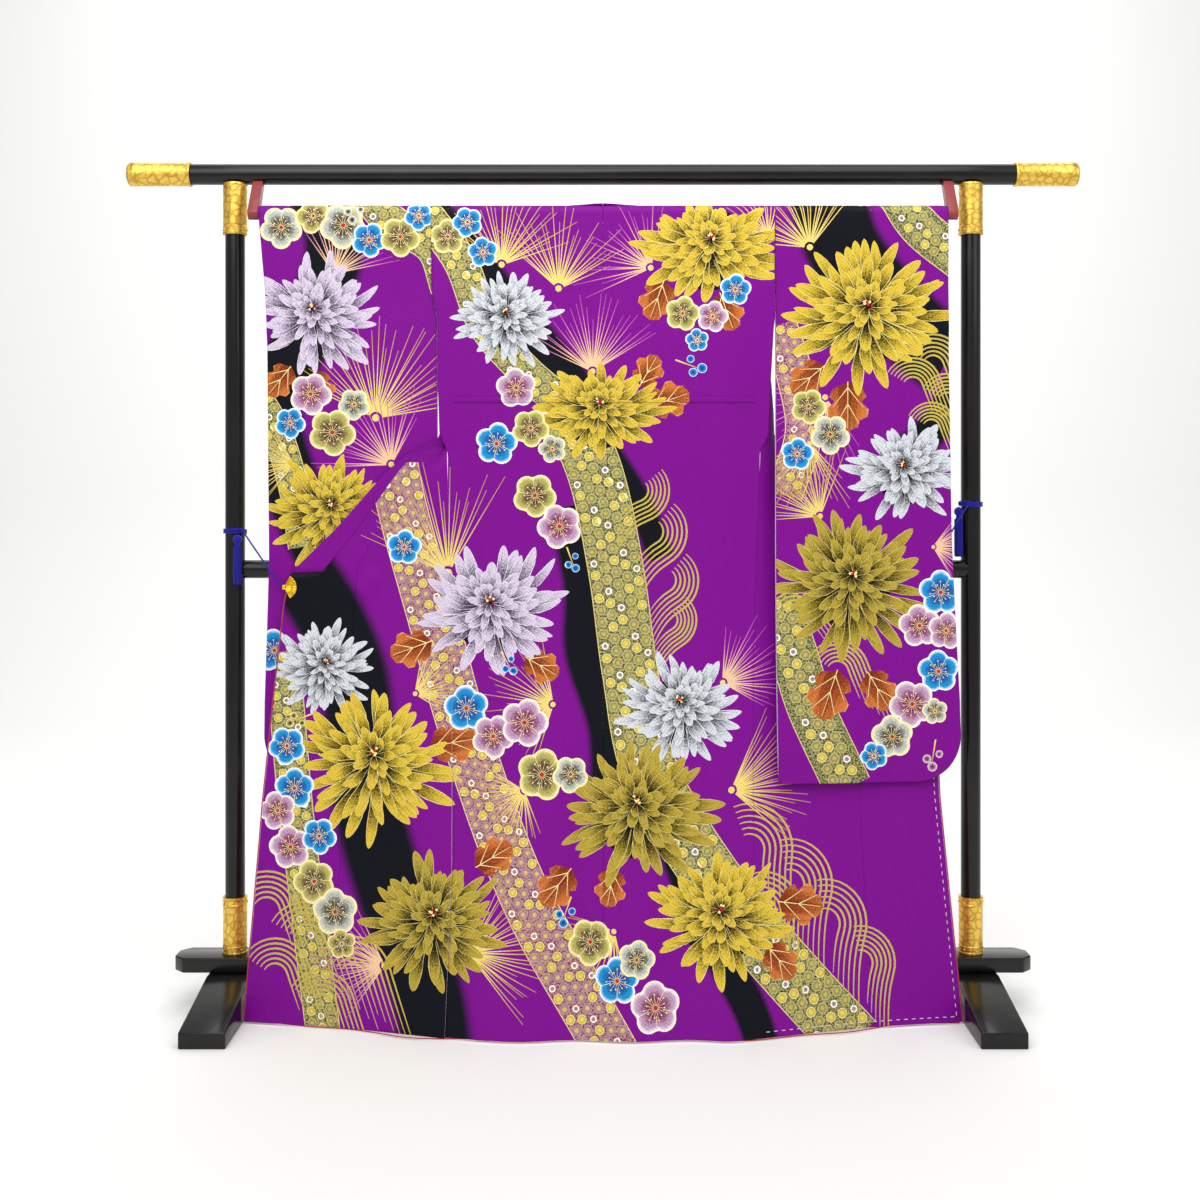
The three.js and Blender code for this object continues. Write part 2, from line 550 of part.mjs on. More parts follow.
// An arm holds the pole's end below and in front of the bar
function poleArm(side) {
  const shape = new THREE.Shape();
  const seat = BAR.radius + GAP;
  const [seatFrom, seatTo] = [-1.45, -2.35];
  shape.moveTo(seat * Math.cos(seatFrom), BAR.z + seat * Math.sin(seatFrom));
  shape.absarc(0, BAR.z, seat, seatFrom, seatTo, true);
  shape.absarc(POLE.y, POLE.z, POLE.radius, 2.5, -0.75, false);
  shape.closePath();
  const middle = SIDES[side] * (POLE.halfLength + GAP + POLE.armWidth / 2);
  return extrudedAlongX(shape, POLE.armWidth, middle);
}

// A fan of two plates, joined beyond the cloth's edge that they hold
function fanClip(side) {
  const edge = frontCourse(side, CLIP.z[side]).getPointAt(1);
  const gape = WALL + 2 * CLIP.clear;
  const spread = THREE.MathUtils.degToRad(CLIP.spread);
  const shape = new THREE.Shape();
  const inward = SIDES[side] > 0 ? Math.PI : 0;
  shape.moveTo(0, 0);
  shape.lineTo(CLIP.radius * Math.cos(inward - spread), CLIP.radius * Math.sin(inward - spread));
  shape.absarc(0, 0, CLIP.radius, inward - spread, inward + spread, false);
  shape.closePath();
  const plate = (near) => {
    const raised = { depth: CLIP.plate, bevelEnabled: false, curveSegments: 12 };
    const geometry = new THREE.ExtrudeGeometry(shape, raised);
    geometry.rotateX(Math.PI / 2);
    return geometry.translate(0, near ? -gape / 2 : gape / 2 + CLIP.plate, 0);
  };
  const bridge = new THREE.BoxGeometry(6, gape + 2 * CLIP.plate, 9);
  const joined = solid(plate(true)).add(solid(plate(false))).add(solid(bridge));
  const at = edge.clone().add(new THREE.Vector3(SIDES[side] * (EDGING.size + GAP + 5), 0, 0));
  return { geometry: geometryOf(joined).translate(at.x, at.y, at.z), at };
}

// Turns of cord round a post, as one ring with a bead for each turn
function cordWrap(z, x) {
  const inner = POST.radius + CORD.clear;
  const pitch = CORD.radius * 2;
  const points = [[inner, 0]];
  for (let k = 0; k < CORD.wraps; k++) {
    const [from, to] = [k * pitch + 0.1, (k + 1) * pitch - 0.1];
    points.push([inner + 1.2, from], [inner + pitch, (from + to) / 2], [inner + 1.2, to]);
  }
  points.push([inner, CORD.wraps * pitch], [inner, 0]);
  return turned(points, 14).translate(x, 0, z);
}

function tiedCord(from, middle, to) {
  const path = new THREE.CatmullRomCurve3([from, middle, to]);
  const ring = steps(0, 1, CORD.sides).slice(0, -1).map((t) => {
    const turn = t * 2 * Math.PI;
    return new THREE.Vector2(CORD.radius * Math.cos(turn), CORD.radius * Math.sin(turn));
  });
  const along = { steps: 12, bevelEnabled: false, extrudePath: path };
  return new THREE.ExtrudeGeometry(new THREE.Shape(ring), along);
}

// A head with strands that hang from it, spread a little and of slightly uneven lengths
function tassel(x, y, top) {
  const { headRadius, headHeight, neckRadius, length, strands, strandRadius } = TASSEL;
  const profile = [
    [0, -headHeight], [headRadius, -headHeight], [headRadius, -8], [headRadius * 0.8, -3],
    [neckRadius, 0], [0, 0],
  ];
  const head = turned(profile, 12);
  let joined = solid(head);
  for (let k = 0; k < strands; k++) {
    const turn = k * 2.39996;
    const share = Math.sqrt((k + 0.5) / strands);
    const spread = (headRadius - strandRadius) * share;
    const foot = -length + 3 * Math.sin(k * 1.7);
    const strand = new THREE.CylinderGeometry(strandRadius, strandRadius, foot + headHeight - 4, 3);
    strand.scale(1, -1, 1).rotateX(Math.PI / 2);
    const middle = (foot - headHeight + 4) / 2;
    strand.translate(spread * Math.cos(turn), spread * Math.sin(turn), middle);
    joined = joined.add(solid(strand));
  }
  return geometryOf(joined).translate(x, y, top);
}

// Assembly
add("crossbar", alongX(rod(BAR.radius, -BAR.halfLength, BAR.halfLength)).translate(0, 0, BAR.z), LACQUER);
add("lower_bar", lowBar(), LACQUER);
const poleRod = alongX(rod(POLE.radius, -POLE.halfLength, POLE.halfLength, 16));
add("hanging_pole", poleRod.translate(0, POLE.y, POLE.z), RED_LACQUER);
for (const side of ["left", "right"]) {
  const x = SIDES[side] * POST.x;
  add("crossbar_cap_" + side, endCap(side).translate(0, 0, BAR.z), GILT);
  const postTop = BAR.z - BAR.radius - GAP - 4 - GAP;
  add("post_" + side, rod(POST.radius, PLATE.top + GAP, postTop).translate(x, 0, 0), LACQUER);
  add("top_ferrule_" + side, topFerrule(x), GILT);
  add("bottom_ferrule_" + side, bottomFerrule(x), GILT);
  add("foot_plate_" + side, footPlate(x), LACQUER);
  add("foot_beam_" + side, footBeam(x), LACQUER);
  add("pole_arm_" + side, poleArm(side), RED_LACQUER);
  add("back_" + side, backPanel(side), SILK);
  add("tuck_" + side, tuckFold(side), SILK);
  add("front_" + side, frontPanel(side), SILK);
  add("okumi_" + side, okumiPanel(side), SILK);
  add("collar_" + side, collarBand(side), SILK);
  add("sleeve_back_" + side, sleeveHalf(side, -1), SILK);
  add("sleeve_front_" + side, sleeveHalf(side, 1), SILK);
  add("edging_" + side, strip(freeEdge(side), new THREE.Vector3(1, 0, 0)), RED_SILK);
  const clip = fanClip(side);
  add("fan_clip_" + side, clip.geometry, GILT);
  const { knotZ, tasselAngle, tieAngle, passX, passY, passZ } = CORD_POSTS[side];
  const knot = POST.radius + CORD.clear + CORD.radius * 2 + GAP + CORD.radius;
  const tie = new THREE.Vector3(x + knot * Math.cos(tieAngle), knot * Math.sin(tieAngle), knotZ + CORD.radius);
  const clipEnd = clip.at.clone().add(new THREE.Vector3(SIDES[side] * (3 + CORD.radius), 0, 0));
  const wrapHeight = CORD.radius * CORD.wraps;
  add("cord_wrap_" + side, cordWrap(knotZ - wrapHeight, x), BLUE_CORD);
  add("clip_cord_" + side, tiedCord(tie, new THREE.Vector3(passX, passY, passZ), clipEnd), BLUE_CORD);
  const hang = POST.radius + TASSEL.headRadius + GAP;
  const tasselAt = [x + hang * Math.cos(tasselAngle), hang * Math.sin(tasselAngle), knotZ - wrapHeight - GAP];
  add("tassel_" + side, tassel(...tasselAt), BLUE_CORD);
}
add("edging_hem", strip(hemLine(), new THREE.Vector3(0, 0, 1)), RED_SILK);

export default root;
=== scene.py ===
"""A furisode opened out for display, seen from its back, on a lacquered kimono stand.

Sizes are in millimetres, +Z up, with the floor at z = 0, and one function turns them to metres.
The garment's outside faces -Y. A layer is a distance in Y from the plane of the hanging pole.
"""
import logging
import math
from dataclasses import dataclass, field
from enum import Enum
from typing import Callable, Iterable, Optional, Sequence

import bmesh
import bpy
import numpy as np
from bpy.types import Material, Mesh, Node, NodeSocket, NodeTree, Object
from mathutils import Matrix, Vector
from mathutils.geometry import delaunay_2d_cdt


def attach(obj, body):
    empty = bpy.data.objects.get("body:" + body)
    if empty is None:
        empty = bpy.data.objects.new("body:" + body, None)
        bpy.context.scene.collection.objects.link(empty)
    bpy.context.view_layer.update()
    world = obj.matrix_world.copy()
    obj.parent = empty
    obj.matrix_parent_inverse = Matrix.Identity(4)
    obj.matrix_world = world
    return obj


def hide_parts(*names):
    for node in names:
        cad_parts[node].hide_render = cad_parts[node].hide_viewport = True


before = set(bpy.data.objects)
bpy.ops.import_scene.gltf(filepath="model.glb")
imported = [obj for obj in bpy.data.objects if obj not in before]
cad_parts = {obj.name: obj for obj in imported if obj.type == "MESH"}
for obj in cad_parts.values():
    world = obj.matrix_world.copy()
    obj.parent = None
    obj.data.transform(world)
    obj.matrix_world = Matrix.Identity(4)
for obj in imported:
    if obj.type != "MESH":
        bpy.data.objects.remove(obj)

log = logging.getLogger("furisode")

Array = np.ndarray
Shape = tuple[Array, list]

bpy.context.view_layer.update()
MM = 0.001
BODY = "root"
TINY = 1e-9
WAVE_TURNS = 20
DYE_LAYERS = ("dye_near", "dye_far", "dye_rim")


class Side(Enum):
    """The two sides of the garment and of its stand, as the viewer of the back sees them."""

    LEFT = "left"
    RIGHT = "right"

    @property
    def sign(self) -> int:
        """The sign of X on this side."""
        return 1 if self is Side.RIGHT else -1


class Slot(Enum):
    """The names of the material slots."""

    PRINTED_SILK = "printed_silk"
    EDGING_SILK = "edging_silk"
    BLACK_LACQUER = "black_lacquer"
    GILT = "gilt_fitting"
    RED_LACQUER = "red_lacquer"
    BLUE_CORD = "blue_cord"


# Colour and shader nodes
def linear(code: int, alpha: float = 1.0) -> tuple[float, float, float, float]:
    """Turn an sRGB hex value to linear light.

    Args:
        code: The colour as 0xRRGGBB.
        alpha: The fourth value.

    Returns:
        Red, green and blue in linear light, and alpha.
    """
    parts = [((code >> shift) & 255) / 255 for shift in (16, 8, 0)]
    lit = [c / 12.92 if c <= 0.04045 else ((c + 0.055) / 1.055) ** 2.4 for c in parts]
    return (lit[0], lit[1], lit[2], alpha)


def add_node(tree: NodeTree, kind: str, inputs: Optional[dict] = None, **settings) -> Node:
    """Add a node with its settings and links.

    Args:
        tree: The tree that gets the node.
        kind: The node's type name.
        inputs: For each input's name or index, a value, or the socket that it is linked to.
        settings: The node's own properties.

    Returns:
        The new node.
    """
    made = tree.nodes.new(kind)
    for name, value in settings.items():
        setattr(made, name, value)
    for name, value in (inputs or {}).items():
        if isinstance(value, NodeSocket):
            tree.links.new(value, made.inputs[name])
        else:
            made.inputs[name].default_value = value
    return made


class Look:
    """A new material with one Principled shader. Most methods add one node and give back its output."""

    def __init__(self, name: str) -> None:
        """Start the material.

        Args:
            name: The material's name.
        """
        self.material = bpy.data.materials.new(name)
        self.material.use_nodes = True
        self.tree = self.material.node_tree
        self.shader = self.tree.nodes["Principled BSDF"]

    def node(
        self, kind: str, inputs: Optional[dict] = None, output: int | str = 0, **settings
    ) -> NodeSocket:
        """Add a shader node of a kind and give back one of its outputs."""
        return add_node(self.tree, f"ShaderNode{kind}", inputs, **settings).outputs[output]

    def place(self) -> NodeSocket:
        """The place on the object."""
        return self.node("TexCoord", output="Object")

    def noise(self, at: NodeSocket, scale: float, detail: float) -> NodeSocket:
        """A cloudy noise from 0 to 1."""
        return self.node("TexNoise", {"Vector": at, "Scale": scale, "Detail": detail}, "Fac")

    def wave(self, at: NodeSocket, width: float, way: str, **inputs: float) -> NodeSocket:
        """Stripes of a width in millimetres."""
        scale = 2 * math.pi / WAVE_TURNS / (width * MM)
        return self.node("TexWave", {"Vector": at, "Scale": scale, **inputs}, "Fac", bands_direction=way)

    def math(self, operation: str, *values: NodeSocket | float) -> NodeSocket:
        """A sum, product or other figure of some values."""
        return self.node("Math", dict(enumerate(values)), operation=operation)

    def remap(self, value: NodeSocket, **ends: float) -> NodeSocket:
        """A value taken from one range to another, from_min to from_max and to_min to to_max."""
        named = {name.replace("_", " ").title(): end for name, end in ends.items()}
        return self.node("MapRange", {"Value": value, **named})

    def blend(
        self, share: NodeSocket | float, low: NodeSocket | tuple, high: NodeSocket | tuple, kind: str = "MIX"
    ) -> NodeSocket:
        """A colour between two others, or their product."""
        return self.node("Mix", {0: share, 6: low, 7: high}, 2, data_type="RGBA", blend_type=kind)

    def bump(self, height: NodeSocket, depth: float) -> None:
        """Raise the surface by a height of 0 to 1 times a depth in millimetres."""
        inputs = {"Height": height, "Distance": depth * MM, "Strength": 1.0}
        self.tree.links.new(self.node("Bump", inputs), self.shader.inputs["Normal"])

    def finish(self, **inputs: NodeSocket | float | tuple) -> Material:
        """Set the shader's inputs, such as base_color, and give back the material."""
        for name, value in inputs.items():
            socket = self.shader.inputs[name.replace("_", " ").title().replace("Ior", "IOR")]
            if isinstance(value, NodeSocket):
                self.tree.links.new(value, socket)
            else:
                socket.default_value = value
        return self.material


# Finishes
@dataclass(frozen=True)
class PrintedSilk:
    """Figured silk satin, dyed and printed: a soft sheen, a woven key fret, and gold in some motifs."""

    cell: float = 17.0
    stripe: float = 5.6
    slant: float = 0.62
    grain: float = 1.7
    streak_across: float = 5.0
    streak_along: float = 1.6
    streak_share: float = 2.2
    rim_soft: float = 0.07

    def build(self) -> Material:
        """Make the silk. Its dyes and figures come from attributes of the cloth."""
        look = Look("printed_silk")
        cloth, figure = (look.node("UVMap", uv_map=name) for name in ("cloth", "figure"))
        near, far, rim = (
            add_node(look.tree, "ShaderNodeAttribute", attribute_name=name).outputs for name in DYE_LAYERS
        )
        parts = add_node(look.tree, "ShaderNodeSeparateXYZ", {0: figure}).outputs
        scale = (self.streak_along, self.streak_across, 1.0)
        brush = look.noise(look.node("Mapping", {"Vector": figure, "Scale": scale}), 1.0, 3.0)
        grain = look.noise(cloth, 1 / (self.grain * MM) / 2, 2.0)
        centred = look.math("SUBTRACT", look.math("ADD", brush, grain), 1.0)
        strength = look.math("MULTIPLY", centred, far["Alpha"])
        moved = look.math("MULTIPLY_ADD", strength, self.streak_share, parts["X"])
        ends = {"Value": moved, "From Min": 0.12, "From Max": 0.92}
        share = look.node("MapRange", ends, interpolation_type="SMOOTHSTEP")
        dyed = look.blend(share, near["Color"], far["Color"])
        reach = look.math("ADD", look.math("ABSOLUTE", parts["Y"]), rim["Alpha"])
        on_rim = look.remap(reach, from_min=1.0 - self.rim_soft, from_max=1.0 + self.rim_soft)
        outlined = look.blend(on_rim, dyed, rim["Color"])
        fret = self.key_fret(look, cloth)
        shade = look.remap(fret, to_min=0.9, to_max=1.05)
        look.bump(fret, 0.1)
        return look.finish(
            base_color=look.blend(1.0, outlined, shade, "MULTIPLY"), metallic=near["Alpha"],
            roughness=look.remap(fret, to_min=0.5, to_max=0.42), specular_ior_level=0.1,
            sheen_weight=0.03, sheen_roughness=0.45, sheen_tint=linear(0xD9A8E0)
        )

    def key_fret(self, look: Look, cloth: NodeSocket) -> NodeSocket:
        """Weave short bars that turn at each cell, as a key fret does, drawn at the real repeat."""
        turned = look.node("Mapping", {"Vector": cloth, "Rotation": (0, 0, self.slant)})
        cells = look.node("TexChecker", {"Vector": turned, "Scale": 1 / (self.cell * MM)}, "Fac")
        upright, level = (look.wave(turned, self.stripe, way) for way in ("X", "Y"))
        return look.remap(look.node("Mix", {0: cells, 2: upright, 3: level}), from_min=0.3, from_max=0.7)


@dataclass(frozen=True)
class PlainSilk:
    """Plain-woven silk, dyed in one colour: a low sheen and fine threads, drawn coarser to show."""

    name: str
    colour: int
    shade: int
    thread: float = 1.1
    roughness: float = 0.55

    def build(self) -> Material:
        """Make the silk on Object coordinates, so that it fits any piece."""
        look = Look(self.name)
        place = look.place()
        cloud = look.noise(place, 22.0, 4.0)
        look.bump(look.wave(place, self.thread, "Z", Distortion=1.5), 0.08)
        colour = look.blend(cloud, linear(self.shade), linear(self.colour))
        return look.finish(base_color=colour, roughness=self.roughness, sheen_weight=0.3)


@dataclass(frozen=True)
class Lacquer:
    """Wood under polished urushi lacquer: a deep gloss over faint brush waves, dusty in places."""

    name: str
    colour: int
    roughness: float
    dust: int
    coat: float = 0.6

    def build(self) -> Material:
        """Make the lacquer."""
        look = Look(self.name)
        cloud = look.noise(look.place(), 9.0, 6.0)
        dusty = look.remap(cloud, from_min=0.45, from_max=0.8, to_max=0.5)
        look.bump(cloud, 0.2)
        return look.finish(
            base_color=look.blend(dusty, linear(self.colour), linear(self.dust)),
            roughness=look.remap(cloud, to_min=self.roughness * 0.8, to_max=self.roughness * 1.8),
            specular_ior_level=0.3, coat_weight=self.coat, coat_roughness=0.05
        )


@dataclass(frozen=True)
class GiltBrass:
    """Stamped brass sheet with a gilt surface: chased scrolls, and darker brown in the hollows."""

    name: str = "gilt_brass"
    colour: int = 0xF2CB5C
    hollow: int = 0xC99A3E
    figure: float = 15.0

    def build(self) -> Material:
        """Make the gilt brass."""
        look = Look(self.name)
        place = look.place()
        edges = {"Vector": place, "Scale": 1 / (self.figure * MM)}
        scrolls = look.node("TexVoronoi", edges, "Distance", feature="DISTANCE_TO_EDGE")
        chased = look.remap(scrolls, from_min=0.02, from_max=0.16)
        wear = look.noise(place, 60.0, 4.0)
        tone = look.remap(look.math("MULTIPLY", chased, wear), from_max=0.45)
        look.bump(chased, 0.12)
        return look.finish(
            base_color=look.blend(tone, linear(self.hollow), linear(self.colour)),
            roughness=look.remap(wear, to_min=0.28, to_max=0.5), metallic=0.85
        )


@dataclass(frozen=True)
class TwistedCord:
    """Twisted rayon cord: a soft shine broken by slanting strands, with painted shade in the grooves between
    them.
    """

    name: str = "blue_cord"
    colour: int = 0x1B10B4
    # The darker blue of the painted shade in the grooves of the twist.
    shade: int = 0x0A0560
    twist: float = 2.2

    def build(self) -> Material:
        """Make the cord's yarn on Object coordinates."""
        look = Look(self.name)
        strands = look.wave(look.place(), self.twist, "DIAGONAL", Distortion=2.0, Detail=2.0)
        look.bump(strands, 0.3)
        # Painted shade: the colour turns to the darker blue where the strands' bump is low, in the twist's
        # grooves.
        colour = look.blend(strands, linear(self.shade), linear(self.colour))
        return look.finish(base_color=colour, roughness=0.7, specular_ior_level=0.25, sheen_weight=0.12)


@dataclass(frozen=True)
class StudioPaint:
    """Matt white paint on the floor and the wall behind, with a faint roller texture."""

    name: str = "studio_paint"
    colour: int = 0xF4F4F2

    def build(self) -> Material:
        """Make the paint."""
        look = Look(self.name)
        look.bump(look.noise(look.place(), 120.0, 2.0), 0.15)
        return look.finish(base_color=linear(self.colour), roughness=0.85)


# Plain geometry
def smooth(t: Array) -> Array:
    """Ease a share from 0 to 1, flat at both ends."""
    share = np.clip(t, 0.0, 1.0)
    return share**2 * (3 - 2 * share)


def mix(a: float, b: float, t: Array) -> Array:
    """The value at a share of the way from a to b."""
    return a + (b - a) * t


def hide_with(obj: Object, nodes: Sequence[str]) -> None:
    """Make a piece ride on the body and stand for CAD nodes."""
    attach(obj, BODY)
    if nodes:
        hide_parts(*nodes)


def new_piece(
    name: str, vertices: Array, faces: Sequence[Sequence[int]],
    materials: Sequence[Material], smooth_shading: bool = True
) -> Object:
    """Make a mesh object from points in millimetres.

    Args:
        name: The piece's name.
        vertices: One row of X, Y and Z for each vertex.
        faces: The vertices of each face, counterclockwise from outside.
        materials: The finishes, of which faces take the first.
        smooth_shading: Whether the faces are shaded smooth.

    Returns:
        The object, in the scene.
    """
    mesh = bpy.data.meshes.new(name)
    mesh.from_pydata((np.asarray(vertices, float) * MM).tolist(), [], [list(map(int, f)) for f in faces])
    for material in materials:
        mesh.materials.append(material)
    mesh.polygons.foreach_set("use_smooth", [smooth_shading] * len(mesh.polygons))
    obj = bpy.data.objects.new(name, mesh)
    bpy.context.scene.collection.objects.link(obj)
    return obj


def lathe(profile: Sequence[tuple[float, float]], sides: int = 64) -> Shape:
    """Turn a profile round Z.

    Args:
        profile: Radius and height of each point, from the axis to the axis or closed on itself.
        sides: How many faces go round.

    Returns:
        The vertices and the faces.
    """
    turns = np.arange(sides) * 2 * math.pi / sides
    vertices: list = []
    rings: list[list[int]] = []
    for radius, height in profile:
        start = len(vertices)
        if radius < 1e-6:
            vertices.append((0.0, 0.0, height))
            rings.append([start] * sides)
        else:
            vertices.extend((radius * math.cos(a), radius * math.sin(a), height) for a in turns)
            rings.append(list(range(start, start + sides)))
    faces = []
    for low, high in zip(rings, rings[1:]):
        for k in range(sides):
            corners = [low[k], low[(k + 1) % sides], high[(k + 1) % sides], high[k]]
            face = [c for i, c in enumerate(corners) if c != corners[i - 1]]
            if len(face) > 2:
                faces.append(face)
    return np.array(vertices), faces


def along_x(vertices: Array, sign: int = 1) -> Array:
    """Lay a shape that stands on Z along X, pointing to the side of the sign."""
    x, y, z = vertices.T
    return np.stack([z * sign, y, -x * sign], axis=1)


def tube(points: Array, radius: float, sides: int = 10) -> Shape:
    """A round cord along points, with domed ends.

    Args:
        points: The points of its middle line.
        radius: Its radius.
        sides: How many faces go round.

    Returns:
        The vertices and the faces.
    """
    points = np.asarray(points, float)
    tangents = np.gradient(points, axis=0)
    tangents /= np.linalg.norm(tangents, axis=1, keepdims=True)
    across = np.cross(tangents[0], (0.0, 0.0, 1.0) if abs(tangents[0][2]) < 0.9 else (1.0, 0.0, 0.0))
    across /= np.linalg.norm(across)
    turns = np.arange(sides) * 2 * math.pi / sides
    rings = []
    dome = [(-0.95, 0.3), (-0.7, 0.72)]
    stations = [(0, k * radius, r) for k, r in dome]
    stations += [(i, 0.0, 1.0) for i in range(len(points))]
    stations += [(len(points) - 1, -k * radius, r) for k, r in reversed(dome)]
    for i, along, share in stations:
        across = across - tangents[i] * np.dot(across, tangents[i])
        across /= np.linalg.norm(across)
        other = np.cross(tangents[i], across)
        centre = points[i] + tangents[i] * along
        rings.append(
            [centre + radius * share * (across * math.cos(a) + other * math.sin(a)) for a in turns]
        )
    vertices = np.array(rings).reshape(-1, 3)
    faces = [list(range(sides))[::-1]]
    for i in range(len(rings) - 1):
        for k in range(sides):
            a, b = i * sides + k, i * sides + (k + 1) % sides
            faces.append([a, b, b + sides, a + sides])
    faces.append([(len(rings) - 1) * sides + k for k in range(sides)])
    return vertices, faces


def joined(parts: Iterable[Shape]) -> Shape:
    """Put several shapes in one list of vertices and faces."""
    vertices: list = []
    faces: list = []
    start = 0
    for points, polygons in parts:
        vertices.append(points)
        faces.extend([[int(c) + start for c in f] for f in polygons])
        start += len(points)
    return np.concatenate(vertices), faces


def rounded_prism(outline: Sequence[tuple[float, float]], low: float, high: float, bevel: float) -> Shape:
    """An outline in X and Y, raised from one height to another, with rounded edges."""
    form = bmesh.new()
    base = [form.verts.new((x, y, low)) for x, y in outline]
    face = form.faces.new(base)
    raised = bmesh.ops.extrude_face_region(form, geom=[face])
    for vert in (v for v in raised["geom"] if isinstance(v, bmesh.types.BMVert)):
        vert.co.z = high
    bmesh.ops.recalc_face_normals(form, faces=form.faces[:])
    bmesh.ops.bevel(form, geom=form.edges[:], offset=bevel, segments=3, profile=0.5, affect="EDGES")
    form.verts.index_update()
    vertices = np.array([v.co[:] for v in form.verts])
    faces = [[v.index for v in f.verts] for f in form.faces]
    form.free()
    return vertices, faces


# The garment's sizes
GAP = 0.3
SEAM_SHOWN = 0.03
WALL = 2.0
HEM_Z = 5.0
TOP_GAP = 0.5


@dataclass(frozen=True)
class Pole:
    """The pole that the garment hangs on, and the cloth's course over it."""

    y: float = -50.0
    z: float = 1547.5
    radius: float = 12.5
    half_length: float = 668.0
    arm_width: float = 20.0

    @property
    def wrap(self) -> float:
        """The radius of the cloth's middle layer over the pole."""
        return self.radius + 0.5 + WALL / 2

    @property
    def quarter(self) -> float:
        """The length of cloth from the pole's top to where it hangs free."""
        return math.pi / 2 * self.wrap

    @property
    def top(self) -> float:
        """The height on the cloth of the line over the pole, counted up along the cloth."""
        return self.z + self.quarter - TOP_GAP

    def over(self, height: Array, facing: int) -> tuple[Array, Array]:
        """Where the cloth is at a height counted along it.

        Args:
            height: Heights along the cloth, the same as z below the pole.
            facing: -1 on the back, 1 behind.

        Returns:
            The true height and the layer.
        """
        turn = np.clip((self.z + self.quarter - height) / self.wrap, 0, math.pi / 2)
        z = np.where(height > self.z, self.z + self.wrap * np.cos(turn), height)
        return z, facing * self.wrap * np.sin(turn)


POLE = Pole()


class Table:
    """A short table with named columns, read between its rows. The first column is the height."""

    def __init__(self, columns: str, *rows: Sequence[float]) -> None:
        """Keep the rows from the lowest up."""
        data = np.array(rows[::-1], float)
        self.heights = data[:, 0]
        self.columns = {name: data[:, i + 1] for i, name in enumerate(columns.split())}

    def at(self, name: str, height: Array) -> Array:
        """A column's value at a height."""
        return np.interp(height, self.heights, self.columns[name])


# The side line of the body: half width, and the layers of the back's and the front's edge there
SIDE_LINE = {
    Side.LEFT: Table(
        "half back front",
        (1562, 333, -13.8, 13.8),
        (1400, 331, -13.8, 13.8),
        (1330, 314, -12, 11),
        (1190, 304, -9.5, -2),
        (1085, 301, -8, -8),
        (700, 290, -8, -8),
        (300, 284, -5, -5),
        (0, 290, 0, 0),
    ),
    Side.RIGHT: Table(
        "half back front",
        (1562, 333, -13.8, 13.8),
        (1400, 331, -13.8, 13.8),
        (1330, 316, -11, 11),
        (1190, 309, -3, 4),
        (1085, 305, 0, 0),
        (700, 290, 0, 0),
        (300, 284, 0, 0),
        (0, 290, 0, 0),
    ),
}

# A front's course across: it turns at a fold, passes the sleeve's inner edge and ends at its free edge
COURSE_COLUMNS = "fold_x fold_n pass_x pass_n edge_x drop edge_n sag"
FRONT_COURSE = {
    Side.LEFT: Table(
        COURSE_COLUMNS,
        (1547.5, 243, 13.8, 152, 13.8, 62, 0, 13.8, 0),
        (1450, 262, 15, 190, 17, 118, 4, 17, 0),
        (1380, 276, 24, 218, 28, 163, 6, 24, 4),
        (1300, 308, 32, 252, 50, 220, 8, 58, 10),
        (1235, 322, 36, 286, 66, 278, 10, 92, 8),
        (1195, 306, 36, 305, 72, 311, 10, 90, 10),
        (1165, 303.5, 50, 308, 70, 316, 8, 40, 8),
        (1140, 304, 48, 311.5, 38, 313.5, 6, 4, 6),
        (1124, 304.5, 32, 312.5, 10, 315, 5, -15, 4),
        (1114, 305, 18, 313, -8, 318, 5, -18, 2),
        (1104, 306, 5, 314, -13, 334, 6, -19, 1),
        (1085, 308, -6, 318, -14, 382, 7, -16, 0),
        (1050, 317, -13, 350, -15.5, 422, 8, -16, 0),
        (950, 326, -14, 430, -16, 517, 16, -16, 0),
        (868, 334, -14.5, 470, -16, 603, 18, -16, 0),
        (790, 338, -14.5, 480, -16, 615, 6, -16, 0),
        (600, 340, -14.5, 490, -16, 634, 0, -16, 0),
        (420, 342, -14.5, 496, -16, 650, 0, -16, 0),
        (5, 360, 0, 510, 0, 679, 0, 0, 0),
    ),
    Side.RIGHT: Table(
        COURSE_COLUMNS,
        (1547.5, 243, 13.8, 152, 13.8, 62, 0, 13.8, 0),
        (1450, 262, 15, 190, 17, 118, 4, 17, 0),
        (1380, 276, 24, 218, 28, 163, 6, 24, 4),
        (1300, 320, 34, 252, 52, 220, 8, 60, 10),
        (1230, 330, 38, 284, 70, 272, 10, 98, 12),
        (1180, 335, 42, 306, 78, 308, 12, 112, 12),
        (1140, 336, 38, 324, 70, 338, 14, 98, 12),
        (1100, 338, 30, 346, 56, 376, 18, 74, 12),
        (1060, 338, 22, 376, 40, 430, 22, 46, 12),
        (990, 334, 17, 440, 22, 560, 24, 16, 8),
        (940, 334, 15, 480, 15.5, 634, 10, 15.5, 0),
        (905, 334, 15, 490, 15.5, 650, 2, 15.5, 0),
        (600, 334, 15, 490, 15.5, 646, 0, 15.5, 0),
        (420, 336, 13, 496, 15, 650, 0, 15, 0),
        (5, 360, 0, 510, 0, 679, 0, 0, 0),
    ),
}

# Where the front's width ends and where the collar begins, as shares of the course across
WIDTH_SHARES = Table(
    "okumi collar",
    (1562, 0.8, 0.8),
    (1320, 0.79, 0.8),
    (1180, 0.73, 0.81),
    (950, 0.61, 0.8),
    (868, 0.585, 0.8),
    (5, 0.565, 0.8),
)
OKUMI_TOP = 1300.0
COLLAR_END = 868.0

